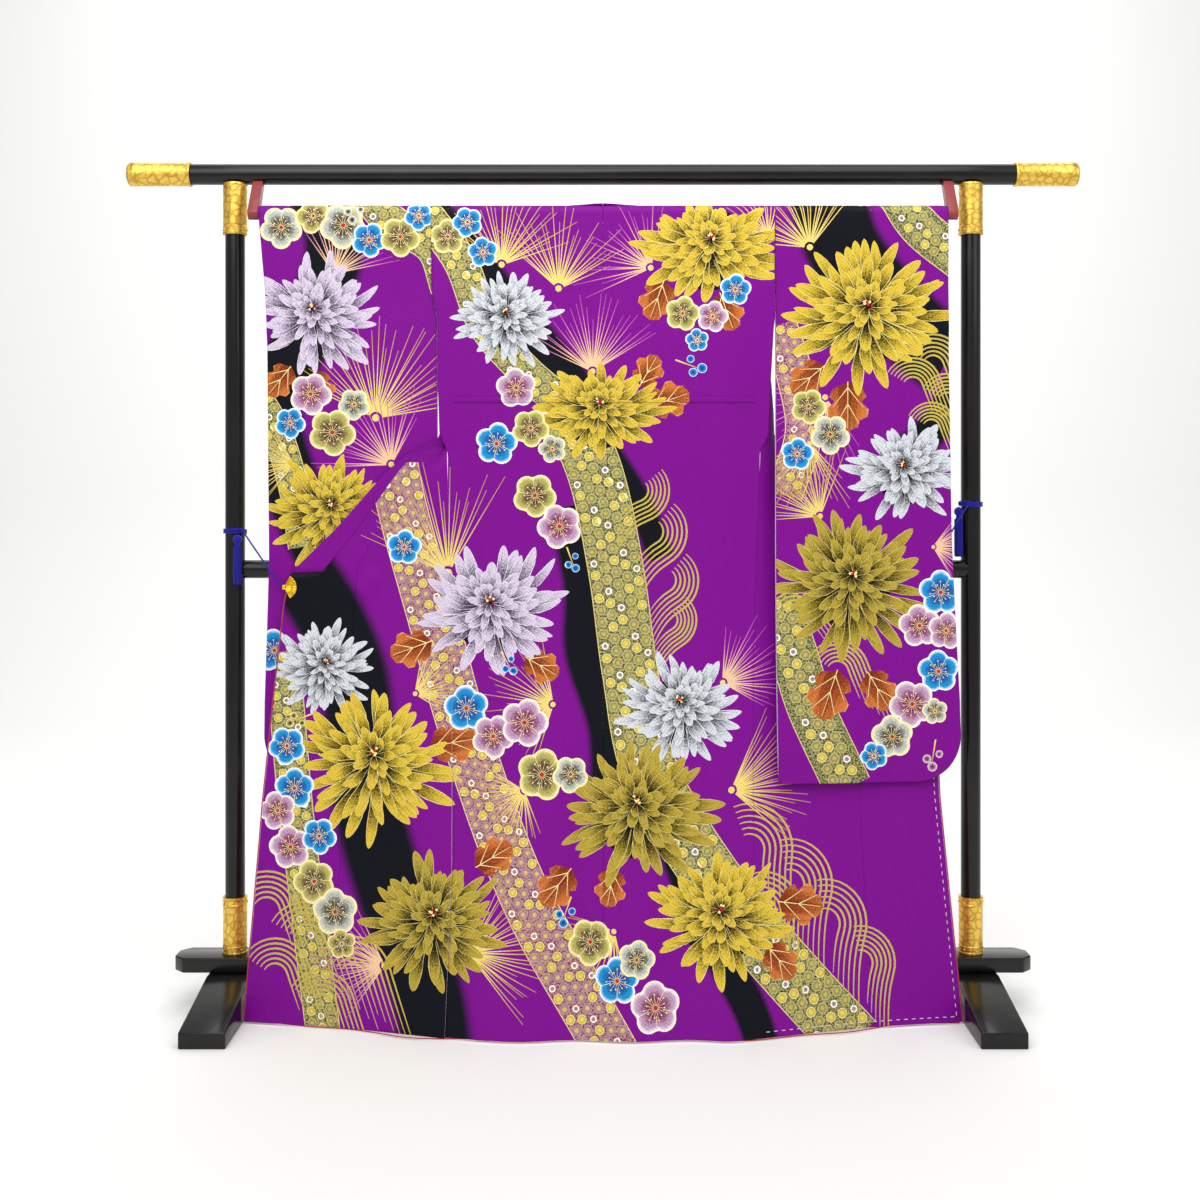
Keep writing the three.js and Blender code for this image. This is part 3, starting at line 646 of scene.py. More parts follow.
SLEEVE_EDGES = {
    Side.LEFT: Table(
        "inner outer",
        (1562, 333.3, 667.5),
        (1400, 332, 655),
        (1340, 322, 652),
        (875, 321, 648),
        (604, 321, 654),
        (449, 321, 654),
    ),
    Side.RIGHT: Table(
        "inner outer",
        (1562, 333.3, 667.5),
        (1400, 333.3, 669),
        (1340, 335, 670),
        (914, 335, 677),
        (604, 335, 690),
        (449, 335, 691),
    ),
}

# Soft folds of the hanging cloth, in the display plane: both ends, width, and how far they come forward
FOLD_COLUMNS = ("x0", "z0", "x1", "z1", "width", "lift")
FOLDS = (
    (-432, 874, -478, 796, 16, 4.0), (-500, 900, -420, 1010, 26, -2.5), (-455, 780, -430, 520, 34, 3.0),
    (-300, 1200, -296, 760, 22, 2.2), (-250, 1180, -268, 640, 30, -2.4), (-190, 960, -150, 420, 44, 2.6),
    (-95, 700, -80, 60, 40, 5.5), (-185, 620, -200, 40, 42, -5.0), (-30, 520, -24, 30, 30, -3.5),
    (70, 640, 92, 40, 44, 4.5), (120, 1240, 190, 880, 34, -3.0), (232, 1270, 262, 700, 26, 2.8),
    (205, 900, 250, 330, 40, -3.6), (170, 420, 160, 30, 36, -4.0), (330, 500, 345, 60, 36, 4.0),
    (430, 520, 470, 40, 46, -4.0), (560, 430, 590, 60, 40, 3.5), (-390, 420, -400, 40, 38, -3.5),
    (-500, 420, -520, 40, 44, 4.0), (-600, 560, -612, 60, 30, -3.0), (-560, 1330, -540, 900, 40, 2.4),
    (-400, 1450, -412, 1180, 34, -2.2), (420, 1200, 400, 620, 44, 2.6), (560, 1300, 590, 700, 50, -2.6),
    (500, 760, 520, 500, 36, 2.0), (-120, 1520, -150, 1260, 40, 1.8), (140, 1500, 150, 1300, 36, -1.6)
)


def folds_at(x: Array, z: Array) -> Array:
    """How far the soft folds bring the cloth forward at a place of the display plane."""
    total = np.zeros_like(x)
    for row in FOLDS:
        fold = dict(zip(FOLD_COLUMNS, row))
        run = np.array([fold["x1"] - fold["x0"], fold["z1"] - fold["z0"]])
        length = float(np.hypot(*run))
        along = ((x - fold["x0"]) * run[0] + (z - fold["z0"]) * run[1]) / length
        aside = ((x - fold["x0"]) * run[1] - (z - fold["z0"]) * run[0]) / length
        ends = smooth(along / (0.35 * length)) * smooth((length - along) / (0.35 * length))
        total += fold["lift"] * np.exp(-((aside / fold["width"]) ** 2)) * ends
    return total


def forward(x: Array, z: Array) -> Array:
    """How far the hanging cloth has come forward of the pole's plane."""
    spread = smooth((np.abs(x) - 250) / 430)
    reach = mix(170, 75, spread)
    fall = np.clip((950 - z) / 950, 0, 1)
    ripple = 5 * smooth((700 - z) / 700) * np.sin(x / 205 * 2 * math.pi)
    return reach * fall**1.8 + ripple


def cloth_point(x: Array, z: Array, layer: Array) -> Array:
    """A point of the cloth at a layer: negative layers are nearer the viewer of the back."""
    return np.stack([x, POLE.y + layer - forward(x, z), z], axis=-1)


# The cloth's surfaces, each over its own flat plane of u, across, and h, height along the cloth
class Surface:
    """The middle layer of one width of cloth, as a function of its flat plane."""

    outward: int = 1
    shown_below: float = math.inf

    def mid(self, u: Array, h: Array) -> Array:
        """Points in space for points of the flat plane."""
        raise NotImplementedError

    def display(self, u: Array, h: Array) -> Array:
        """The display plane's X and Z for points of the flat plane."""
        return np.stack([u, h], axis=-1)

    def flat(self, places: Array) -> Array:
        """Points of the flat plane for places in the display plane."""
        return places

    def normals(self, u: Array, h: Array) -> Array:
        """Unit normals that point to the garment's outside."""
        step = 0.8
        across = self.mid(u + step, h) - self.mid(u - step, h)
        up = self.mid(u, h + step) - self.mid(u, h - step)
        normal = np.cross(across, up) * self.outward
        return normal / np.maximum(np.linalg.norm(normal, axis=-1, keepdims=True), TINY)


@dataclass
class BackSurface(Surface):
    """Half of the back, from the centre seam to the side seam."""

    side: Side
    layer: float = 12.5
    settle: float = 170.0
    seam_reach: float = 1.3
    loose: float = 15.0
    from_sleeve: float = 1.5

    def mid(self, u: Array, h: Array) -> Array:
        """Points in space for points of the flat plane."""
        z, layer = POLE.over(h, -1)
        line = SIDE_LINE[self.side]
        share = (np.abs(u) - GAP / 2) / (line.at("half", z) - GAP)
        fallen = smooth((POLE.z - z) / self.settle)
        settled = mix(layer, -self.layer, fallen)
        edge = smooth((share - 0.75) / 0.25) * fallen
        seams = smooth(share / 0.08) * smooth((1 - share) / 0.12)
        bent = folds_at(u, z) * fallen * seams
        return cloth_point(u, z, mix(settled, line.at("back", z), edge) - bent)

    def outline(self) -> Array:
        """The panel's edge in its flat plane, counterclockwise."""
        heights = np.append(np.arange(HEM_Z, POLE.top, 11.0), POLE.top)
        z = POLE.over(heights, -1)[0]
        half = SIDE_LINE[self.side].at("half", z) - GAP / 2
        room = np.clip(SLEEVE_EDGES[self.side].at("inner", z) - self.from_sleeve - half, 0, self.loose)
        half += room * smooth((1470 - z) / 60) * smooth((z - 1080) / 40)
        half += self.seam_reach * smooth((1080 - z) / 60)
        centre = np.full_like(heights, SEAM_SHOWN / 2)
        seams = [np.stack([half, heights], 1), np.stack([centre, heights], 1)[::-1]]
        ring = close_ends(seams[0], seams[1])
        return ring if self.side is Side.RIGHT else (ring * (-1, 1))[::-1]


@dataclass
class SleeveSurface(Surface):
    """One of a sleeve's two walls, which meet over the pole and at the foot."""

    side: Side
    facing: int
    foot: float = 449.0
    corner: float = 90.0
    layer: float = 8.0
    wrist: float = 1330.0
    sewn_margin: float = 60.0
    sewn_layer: float = 1.4
    settle: float = 170.0

    def __post_init__(self) -> None:
        """The wall behind faces away from the viewer."""
        self.outward = -self.facing

    def mid(self, u: Array, h: Array) -> Array:
        """Points in space for points of the flat plane."""
        z, layer = POLE.over(h, self.facing)
        edges = SLEEVE_EDGES[self.side]
        fallen = smooth((POLE.z - z) / self.settle)
        settled = mix(np.abs(layer), self.layer, fallen)
        from_outer = edges.at("outer", z) - np.abs(u)
        sewn = smooth((self.wrist - z) / 50) * smooth(1 - from_outer / self.sewn_margin)
        shut = np.maximum(sewn, smooth((self.foot + 60 - z) / 60))
        inner = smooth((np.abs(u) - edges.at("inner", z)) / 40) * smooth(from_outer / 70)
        free = fallen * inner * smooth((z - self.foot) / 120)
        bent = np.clip(folds_at(u, z), -2.5, 2.5) * free
        return cloth_point(u, z, self.facing * mix(settled, self.sewn_layer, shut) - bent)

    def outline(self) -> Array:
        """The wall's edge in its flat plane, counterclockwise."""
        edges = SLEEVE_EDGES[self.side]
        inner_heights = np.append(np.arange(self.foot, POLE.top, 11.0), POLE.top)
        outer_heights = inner_heights[inner_heights > self.foot + self.corner]
        outer_z = POLE.over(outer_heights, self.facing)[0]
        outer_x = edges.at("outer", outer_z)
        inner_x = edges.at("inner", POLE.over(inner_heights, self.facing)[0])
        turn = np.linspace(0, math.pi / 2, 16)
        arc_x = edges.at("outer", self.foot) - self.corner * (1 - np.sin(turn))
        arc_z = self.foot + self.corner * (1 - np.cos(turn))
        outer = np.concatenate([np.stack([arc_x, arc_z], 1), np.stack([outer_x, outer_heights], 1)[1:]])
        ring = close_ends(outer, np.stack([inner_x, inner_heights], 1)[::-1])
        return ring if self.side is Side.RIGHT else (ring * (-1, 1))[::-1]


def close_ends(up: Array, down: Array, step: float = 12.0) -> Array:
    """Join an edge that goes up and one that comes down by straight, evenly pointed ends."""
    ring = [up]
    for a, b in ((up[-1], down[0]), (down[-1], up[0])):
        count = max(2, int(np.hypot(*(b - a)) / step))
        between = [a + (b - a) * k / count for k in range(1, count)]
        if b is down[0] or np.allclose(b, down[0]):
            ring.append(np.array(between).reshape(-1, 2))
            ring.append(down)
        else:
            ring.append(np.array(between).reshape(-1, 2))
    return np.concatenate(ring)


def centripetal(points: Array, samples: int = 26) -> Array:
    """A centripetal Catmull-Rom curve through four points, at even steps of its parameter."""
    ends = [2 * points[0] - points[1], *points, 2 * points[-1] - points[-2]]
    course = []
    for k in range(1, len(ends) - 2):
        p0, p1, p2, p3 = ends[k - 1 : k + 3]
        knots = [0.0]
        for a, b in ((p0, p1), (p1, p2), (p2, p3)):
            knots.append(knots[-1] + max(float(np.linalg.norm(b - a)) ** 0.5, 1e-4))
        t = np.linspace(knots[1], knots[2], samples)[:, None]
        a1 = (knots[1] - t) / (knots[1] - knots[0]) * p0 + (t - knots[0]) / (knots[1] - knots[0]) * p1
        a2 = (knots[2] - t) / (knots[2] - knots[1]) * p1 + (t - knots[1]) / (knots[2] - knots[1]) * p2
        a3 = (knots[3] - t) / (knots[3] - knots[2]) * p2 + (t - knots[2]) / (knots[3] - knots[2]) * p3
        b1 = (knots[2] - t) / (knots[2] - knots[0]) * a1 + (t - knots[0]) / (knots[2] - knots[0]) * a2
        b2 = (knots[3] - t) / (knots[3] - knots[1]) * a2 + (t - knots[1]) / (knots[3] - knots[1]) * a3
        part = (knots[2] - t) / (knots[2] - knots[1]) * b1 + (t - knots[1]) / (knots[2] - knots[1]) * b2
        course.append(part if k == 1 else part[1:])
    return np.concatenate(course)


class FrontSurface(Surface):
    """A front, its okumi and its collar: one course across, from the side seam to the free edge."""

    WIDTH = 390.0
    SHARES = np.linspace(0, 1, 97)
    GRAPH_TOP = {Side.LEFT: 1078.0, Side.RIGHT: 975.0}

    def __init__(self, side: Side) -> None:
        """Work out the grid of points that the surface is read from."""
        self.side = side
        self.outward = side.sign
        self.shown_below = self.GRAPH_TOP[side]
        self.heights = np.append(np.arange(HEM_Z - 4, POLE.z, 4.0), POLE.z)
        self.grid = np.stack([self.course(h) for h in self.heights])

    def course(self, height: float) -> Array:
        """The points across at one height, evenly spaced along the cloth."""
        row, line = FRONT_COURSE[self.side], SIDE_LINE[self.side]
        value = {name: float(row.at(name, height)) for name in row.columns}
        seam_x = float(line.at("half", height)) + 1.3 * float(smooth(np.array((1190 - height) / 60)))
        shares = np.array([0, 0.33, 0.66, 1.0])
        xs = np.array([seam_x, value["fold_x"], value["pass_x"], value["edge_x"]])
        layers = np.array(
            [float(line.at("front", height)), value["fold_n"], value["pass_n"], value["edge_n"]]
        )
        sagging = value["sag"] * np.array([0, math.sin(0.33 * math.pi), math.sin(0.66 * math.pi), 0])
        points = cloth_point(xs, height - value["drop"] * shares - sagging, layers)
        points[:, 0] *= self.side.sign
        curve = centripetal(points)
        lengths = np.append(0, np.cumsum(np.linalg.norm(np.diff(curve, axis=0), axis=1)))
        even = self.SHARES * lengths[-1]
        return np.stack([np.interp(even, lengths, curve[:, k]) for k in range(3)], axis=1)

    def read(self, u: Array, h: Array) -> Array:
        """Points of the grid between its rows and columns."""
        row = np.clip(
            np.interp(h, self.heights, np.arange(len(self.heights))), 0, len(self.heights) - 1.001
        )
        column = np.clip(u / self.WIDTH * (len(self.SHARES) - 1), 0, len(self.SHARES) - 1.001)
        i, j = row.astype(int), column.astype(int)
        a, b = (row - i)[..., None], (column - j)[..., None]
        low = self.grid[i, j] * (1 - b) + self.grid[i, j + 1] * b
        high = self.grid[i + 1, j] * (1 - b) + self.grid[i + 1, j + 1] * b
        return low * (1 - a) + high * a

    def mid(self, u: Array, h: Array) -> Array:
        """Points in space for points of the flat plane."""
        points = self.read(u, np.minimum(h, POLE.z))
        z, layer = POLE.over(h, 1)
        wrapped = cloth_point(points[..., 0], z, layer)
        share = u / self.WIDTH
        free = smooth((self.shown_below - 20 - h) / 120) * smooth(share / 0.1) * smooth((1 - share) / 0.1)
        points[..., 1] -= np.maximum(folds_at(points[..., 0], h), -2.5) * free
        return np.where((h > POLE.z)[..., None], wrapped, points)

    def display(self, u: Array, h: Array) -> Array:
        """The display plane's X and Z for points of the flat plane."""
        points = self.read(u, np.minimum(h, POLE.z))
        return points[..., [0, 2]]

    def flat(self, places: Array) -> Array:
        """Points of the flat plane for places in the display plane, below the twist."""
        h = np.minimum(places[:, 1], self.shown_below)
        across = places[:, 0] * self.side.sign
        u = np.full(len(places), 0.5 * self.WIDTH)
        for _ in range(7):
            rows = np.clip(
                np.interp(h, self.heights, np.arange(len(self.heights))), 0, len(self.heights) - 1.001
            )
            i = rows.astype(int)
            for n in range(len(places)):
                part = rows[n] - i[n]
                run = (
                    self.grid[i[n], :, 0] * (1 - part) + self.grid[i[n] + 1, :, 0] * part
                ) * self.side.sign
                last = len(run) - 1
                share = np.interp(across[n], run, self.SHARES)
                if across[n] > run[last]:
                    share = 1 + (across[n] - run[last]) / self.WIDTH
                if across[n] < run[0]:
                    share = (across[n] - run[0]) / self.WIDTH
                u[n] = share * self.WIDTH
            fallen = h - self.read(np.clip(u, 0, self.WIDTH), h)[:, 2]
            h = np.minimum(places[:, 1], self.shown_below) + fallen
            if np.abs(fallen).max() < 1e-3:
                break
        return np.stack([u, h], axis=1)

    def outline(self, okumi: bool) -> Array:
        """The edge of the front's width, or of its okumi, in the flat plane, counterclockwise."""
        half_gap = SEAM_SHOWN / 2
        top = OKUMI_TOP if okumi else POLE.top
        heights = np.append(np.arange(HEM_Z, top, 9.0), top)
        seam = WIDTH_SHARES.at("okumi", heights) * self.WIDTH
        if not okumi:
            inner = np.stack([np.zeros_like(heights), heights], 1)
            outer = np.stack([seam - half_gap, heights], 1)
            return close_ends(outer, inner[::-1])
        collared = heights >= COLLAR_END
        free = np.where(collared, WIDTH_SHARES.at("collar", heights) * self.WIDTH - half_gap, self.WIDTH)
        right = [(self.WIDTH, h) for h in heights[~collared]] + [(self.WIDTH, COLLAR_END - 0.4)]
        right += [(f, h) for f, h in zip(free[collared], heights[collared])]
        left = np.stack([seam + half_gap, heights], 1)
        return close_ends(np.array(right), left[::-1])


# The print: flat patches of dye in the display plane, later ones on top
@dataclass(frozen=True)
class Dye:
    """The colours of a printed patch, from its root to its tip, and along its rim."""

    near: int
    far: int
    rim: int
    gold: float = 0.0
    streak: float = 0.0
    rim_share: float = 0.0


PURPLE = 0x7A098A
GROUND = Dye(PURPLE, PURPLE, PURPLE)
GOLD_PETAL = Dye(0x171205, 0xDEBF3E, 0xF4E38C, gold=0.2, streak=0.4, rim_share=0.14)
OLD_GOLD_PETAL = Dye(0x0E0D06, 0xB8A03C, 0xE2D27C, gold=0.2, streak=0.42, rim_share=0.13)
SILVER_PETAL = Dye(0x14161C, 0xD3D7DE, 0xFFFFFF, gold=0.05, streak=0.4, rim_share=0.12)
MAUVE_PETAL = Dye(0x3A2046, 0xD4C6DC, 0xFFFFFF, gold=0.05, streak=0.42, rim_share=0.12)
BLUE_PLUM = Dye(0x1B3F92, 0x1F9AD8, 0xF4FAFF, streak=0.3, rim_share=0.1)
MAUVE_PLUM = Dye(0x7A2358, 0xC7A3C4, 0xFFF6E0, streak=0.35, rim_share=0.1)
OLIVE_PLUM = Dye(0x4E2E33, 0xC0B866, 0xFFF0AE, gold=0.1, streak=0.35, rim_share=0.1)
GREY_PLUM = Dye(0x3A2B36, 0xC9CDBE, 0xFFF0AE, streak=0.35, rim_share=0.1)
LEAF = Dye(0x7E2C12, 0xD0783A, 0xF2D26A, gold=0.1, streak=0.4, rim_share=0.1)
NEEDLE_GOLD = Dye(0xF0D67A, 0xC9A43C, 0xF0D67A, gold=0.3)
NEEDLE_PINK = Dye(0xF3C79C, 0xC05AA8, 0xF3C79C, gold=0.15)
STAMEN = Dye(0xF8E8A0, 0xF8E8A0, 0xF8E8A0, gold=0.2)
RED_DOT = Dye(0xC2261C, 0xE05A2A, 0xF2D26A)
DARK = Dye(0x120F14, 0x1C1712, 0x1C1712, streak=0.2)
BAND = Dye(PURPLE, 0x0B0E17, 0x0B0E17)
WAVE_LINE = Dye(0xD7C765, 0xB89C3C, 0xEFE08C, gold=0.3, streak=0.2)
GREEN_BROCADE = Dye(0x2F3E30, 0xB7AE6C, 0xEAD98A, gold=0.15, streak=1.3)
PINK_BROCADE = Dye(0x6E2A6A, 0xC79A7A, 0xF0DE98, gold=0.1, streak=1.3)
KIKKO = Dye(0xC9B45A, 0x4E6E58, 0xBFB070, gold=0.1, streak=0.15, rim_share=0.26)
MAUVE_KIKKO = Dye(0xD9C26A, 0x8E4C84, 0xB78FA0, gold=0.1, streak=0.2, rim_share=0.22)
ROSETTE = Dye(0xE8D867, 0xC9A83A, 0xF6EFA9, gold=0.3, streak=0.2, rim_share=0.14)
RING = Dye(0x8E7A86, 0xBFB09A, 0xFBF8EC, streak=0.2, rim_share=0.36)


@dataclass
class Patch:
    """One flat patch of dye: its outline, counterclockwise, and its own measure of place inside.

    The figure gives two numbers for each place: how far from root to tip, and how far aside, where
    1 and -1 are the edges.
    """

    outline: Array
    dye: Dye
    figure: Callable[[Array], Array]
    lines: tuple = ()


def still(places: Array) -> Array:
    """The figure of a patch with one colour."""
    return np.zeros((len(places), 2))


def brocade(places: Array) -> Array:
    """The figure of a patch whose two dyes mix in fine specks."""
    return np.tile((0.5, 0.0), (len(places), 1))


def ccw(points: Array) -> Array:
    """The same outline, counterclockwise."""
    x, z = points.T
    area = np.sum(x * np.roll(z, -1) - np.roll(x, -1) * z)
    return points if area > 0 else points[::-1]


class PrintDesign:
    """Draws the traditional motifs of a furisode: chrysanthemums, plums, pine, leaves, ribbons, waves."""

    def __init__(self, seed: int) -> None:
        """Start an empty design with its own fixed seed."""
        self.rng = np.random.default_rng(seed)
        self.bloom = 1.16
        self.patches: list[Patch] = []

    def add(self, outline: Iterable, dye: Dye, figure: Callable = still, lines: tuple = ()) -> None:
        """Lay one patch over those before it."""
        self.patches.append(Patch(ccw(np.asarray(outline, float)), dye, figure, lines))

    def petal(
        self, root: Array, angle: float, length: float, half: float, bend: float, dye: Dye, blunt: float = 0.5
    ) -> None:
        """Lay a petal.

        Args:
            root: Where it starts.
            angle: Its direction at the root, in radians.
            length: Its length.
            half: Half its greatest width.
            bend: How far its tip turns aside, as a share of its length.
            dye: Its colours.
            blunt: How full its tip is, from 0 to 1.
        """
        way = np.array([math.cos(angle), math.sin(angle)])
        side = np.array([-way[1], way[0]])

        def width(t: Array) -> Array:
            body = 0.42 + 0.58 * smooth(np.asarray(t) / 0.55)
            return half * body * np.clip(
                1 - np.clip((np.asarray(t) - 0.5) / 0.5, 0, 1) ** (1.6 + 2 * blunt), 0, 1
            ) ** 0.6

        ts = np.array([0.0, 0.28, 0.52, 0.74, 0.88, 0.96])
        middle = root + np.outer(ts * length, way) + np.outer(bend * length * ts**2, side)
        left = middle + np.outer(width(ts), side)
        right = middle - np.outer(width(ts), side)
        tip = root + way * length + side * bend * length

        def figure(places: Array) -> Array:
            along = (places - root) @ way / length
            off = (places - root) @ side - bend * length * np.clip(along, 0, 1) ** 2
            return np.stack(
                [np.clip(along, 0, 1), np.clip(off / (width(np.clip(along, 0, 0.97)) + 0.4), -1, 1)], 1
            )

        self.add(np.concatenate([left, [tip], right[::-1]]), dye, figure)

    def chrysanthemum(
        self, x: float, z: float, radius: float, dye: Dye, squash: float = 0.82, lean: float = 90.0,
        rings: int = 7
    ) -> None:
        """Lay a shaggy chrysanthemum, seen a little from the side.

        Args:
            x: Its middle, across.
            z: Its middle, up.
            radius: The reach of its outer petals.
            dye: Its petals' colours.
            squash: Its height as a share of its width.
            lean: The direction that its heart faces, in degrees.
            rings: How many rings of petals it has.
        """
        centre = np.array([x, z])
        heart = centre + radius * 0.1 * np.array(
            [math.cos(math.radians(lean)), math.sin(math.radians(lean))]
        )
        self.add(self.disc(centre, radius * 0.55, 18), DARK)
        spin = self.rng.uniform(0, 6)
        for ring in range(rings):
            share = 1 - ring / rings
            reach = radius * (0.17 + 0.83 * share**0.95)
            count = int(round(7 + 12 * share))
            middle = centre + (heart - centre) * (1 - share) * 1.6
            for k in range(count):
                angle = spin + (k + 0.5 * (ring % 2)) * 2 * math.pi / count + self.rng.uniform(-0.13, 0.13)
                far = reach * self.rng.uniform(0.78, 1.16)
                way = np.array([math.cos(angle), math.sin(angle) * squash])
                stretch = float(np.hypot(*way))
                root = middle + way * far * (0.34 if ring < rings - 2 else 0.12)
                length = far * stretch * (0.68 if ring < rings - 2 else 0.8)
                half = radius * (0.052 + 0.024 * share) * self.rng.uniform(0.85, 1.15)
                turn = math.atan2(way[1], way[0])
                bend = self.rng.uniform(-0.2, 0.2) + 0.12 * math.cos(angle)
                self.petal(root, turn, length, half, bend, dye, blunt=self.rng.uniform(0.1, 0.6))
            spin += 0.37
        for k in range(9):
            spot = heart + (heart - centre) * 0.6 + self.rng.uniform(-0.05, 0.05, 2) * radius
            self.add(self.disc(spot, radius * 0.018, 6), RED_DOT if k % 2 else STAMEN)

    @staticmethod
    def disc(centre: Array, radius: float, sides: int) -> Array:
        """The outline of a disc."""
        turns = np.arange(sides) * 2 * math.pi / sides
        return np.asarray(centre) + radius * np.stack([np.cos(turns), np.sin(turns)], 1)

    def plum(self, x: float, z: float, radius: float, dye: Dye, spin: float = 0.3) -> None:
        """Lay a plum blossom: five round petals, a dark heart and fine stamens."""
        radius *= self.bloom
        centre = np.array([x, z])
        turns = np.arange(40) * 2 * math.pi / 40

        def reach(angle: Array) -> Array:
            lobe = np.abs(np.cos(2.5 * (np.asarray(angle) - spin)))
            return radius * (0.76 + 0.24 * lobe**0.7)

        def figure(places: Array) -> Array:
            off = places - centre
            share = np.hypot(off[:, 0], off[:, 1]) / reach(np.arctan2(off[:, 1], off[:, 0]))
            return np.stack([np.clip(share * 1.1 - 0.12, 0, 1), np.clip(share, 0, 1)], 1)

        ring = centre + reach(turns)[:, None] * np.stack([np.cos(turns), np.sin(turns)], 1)
        inner = centre + 0.55 * (ring - centre)
        self.add(ring, dye, figure, (inner[::2],))
        for k in range(5):
            fold = spin + (k + 0.5) * 2 * math.pi / 5
            self.line(centre, fold, radius * 0.3, radius * 0.74, 0.7, STAMEN)
        for k in range(15):
            angle = spin + k * 2 * math.pi / 15
            far = radius * (0.36 + 0.12 * (k % 2))
            self.line(centre, angle, radius * 0.06, far, 0.55, STAMEN)
            tip = centre + far * np.array([math.cos(angle), math.sin(angle)])
            self.add(self.disc(tip, radius * 0.035, 5), STAMEN)
        self.add(self.disc(centre, radius * 0.09, 8), RED_DOT)

    def line(self, centre: Array, angle: float, start: float, end: float, half: float, dye: Dye) -> None:
        """Lay a straight line that points away from a centre and narrows to its end."""
        way = np.array([math.cos(angle), math.sin(angle)])
        side = np.array([-way[1], way[0]])
        a, b = centre + way * start, centre + way * end

        def figure(places: Array) -> Array:
            return np.stack([np.clip(((places - a) @ way) / (end - start), 0, 1), np.zeros(len(places))], 1)

        self.add(
            [a + side * half, a - side * half, b - side * half * 0.4, b + side * half * 0.4], dye, figure
        )

    def pine(
        self, x: float, z: float, radius: float, start: float, sweep: float, count: int, dye: Dye
    ) -> None:
        """Lay a burst of pine needles from one point, between two directions in degrees."""
        centre = np.array([x, z])
        for k in range(count):
            angle = math.radians(start + sweep * (k + self.rng.uniform(-0.35, 0.35)) / count)
            reach = radius * self.rng.uniform(0.8, 1.35)
            self.line(centre, angle, radius * 0.08, reach, 1.25, dye)
        self.add(self.disc(centre, radius * 0.05, 7), NEEDLE_GOLD)

    def leaf(self, x: float, z: float, length: float, angle: float, dye: Dye = LEAF) -> None:
        """Lay a chrysanthemum leaf with five lobes and gold veins."""
        root = np.array([x, z])
        way = np.array([math.cos(math.radians(angle)), math.sin(math.radians(angle))])
        side = np.array([-way[1], way[0]])
        half = (
            (0, 0.03), (0.14, 0.3), (0.3, 0.38), (0.4, 0.27), (0.56, 0.42), (0.7, 0.4), (0.78, 0.24),
            (0.92, 0.2), (1, 0)
        )
        left = [root + way * t * length + side * w * length for t, w in half]
        right = [root + way * t * length - side * w * length for t, w in half[1:-1]]

        def figure(places: Array) -> Array:
            along = (places - root) @ way / length
            off = (places - root) @ side / length
            return np.stack([np.clip(along * 0.5 + np.abs(off) * 1.4, 0, 1), np.clip(off * 2.2, -1, 1)], 1)

        self.add(left + right[::-1], dye, figure)
        for aim, reach, start in (
            (0, 0.94, 0.0), (38, 0.5, 0.12), (-38, 0.5, 0.12), (30, 0.45, 0.45), (-30, 0.45, 0.45)
        ):
            foot = root + way * start * length
            self.line(foot, math.radians(angle + aim), 0.0, reach * length, 0.9, STAMEN)

    def band(
        self, course: Sequence[tuple[float, float]], half: float, soft: float, dye: Dye = BAND
    ) -> None:
        """Lay a band of dark dye whose edges fade to the ground over a soft width."""
        middle = self.spline(course, 7)
        way = np.gradient(middle, axis=0)
        side = np.stack([-way[:, 1], way[:, 0]], 1) / np.hypot(*way.T)[:, None]

        def figure(places: Array) -> Array:
            gap = np.full(len(places), 1e9)
            for a, b in zip(middle, middle[1:]):
                run = b - a
                share = np.clip((places - a) @ run / (run @ run), 0, 1)
                gap = np.minimum(gap, np.hypot(*(places - a - share[:, None] * run).T))
            return np.stack([np.clip((half + soft - gap) / soft, 0, 1), np.zeros(len(places))], 1)

        def ring(width: float) -> Array:
            return np.concatenate([middle + side * width, (middle - side * width)[::-1]])

        inner = middle + side * half, middle - side * half
        halfway = middle + side * (half + soft * 0.5), middle - side * (half + soft * 0.5)
        self.add(ring(half + soft), dye, figure, (*inner, *halfway))

    @staticmethod
    def spline(course: Sequence[tuple[float, float]], steps: int) -> Array:
        """A smooth line through points of the display plane."""
        points = np.asarray(course, float)
        ends = np.concatenate([[2 * points[0] - points[1]], points, [2 * points[-1] - points[-2]]])
        line = []
        for k in range(1, len(ends) - 2):
            p0, p1, p2, p3 = ends[k - 1 : k + 3]
            for t in np.arange(steps) / steps:
                square, cube = 2 * p0 - 5 * p1 + 4 * p2 - p3, 3 * p1 - p0 - 3 * p2 + p3
                line.append(0.5 * (2 * p1 + (p2 - p0) * t + square * t**2 + cube * t**3))
        line.append(points[-1])
        return np.array(line)

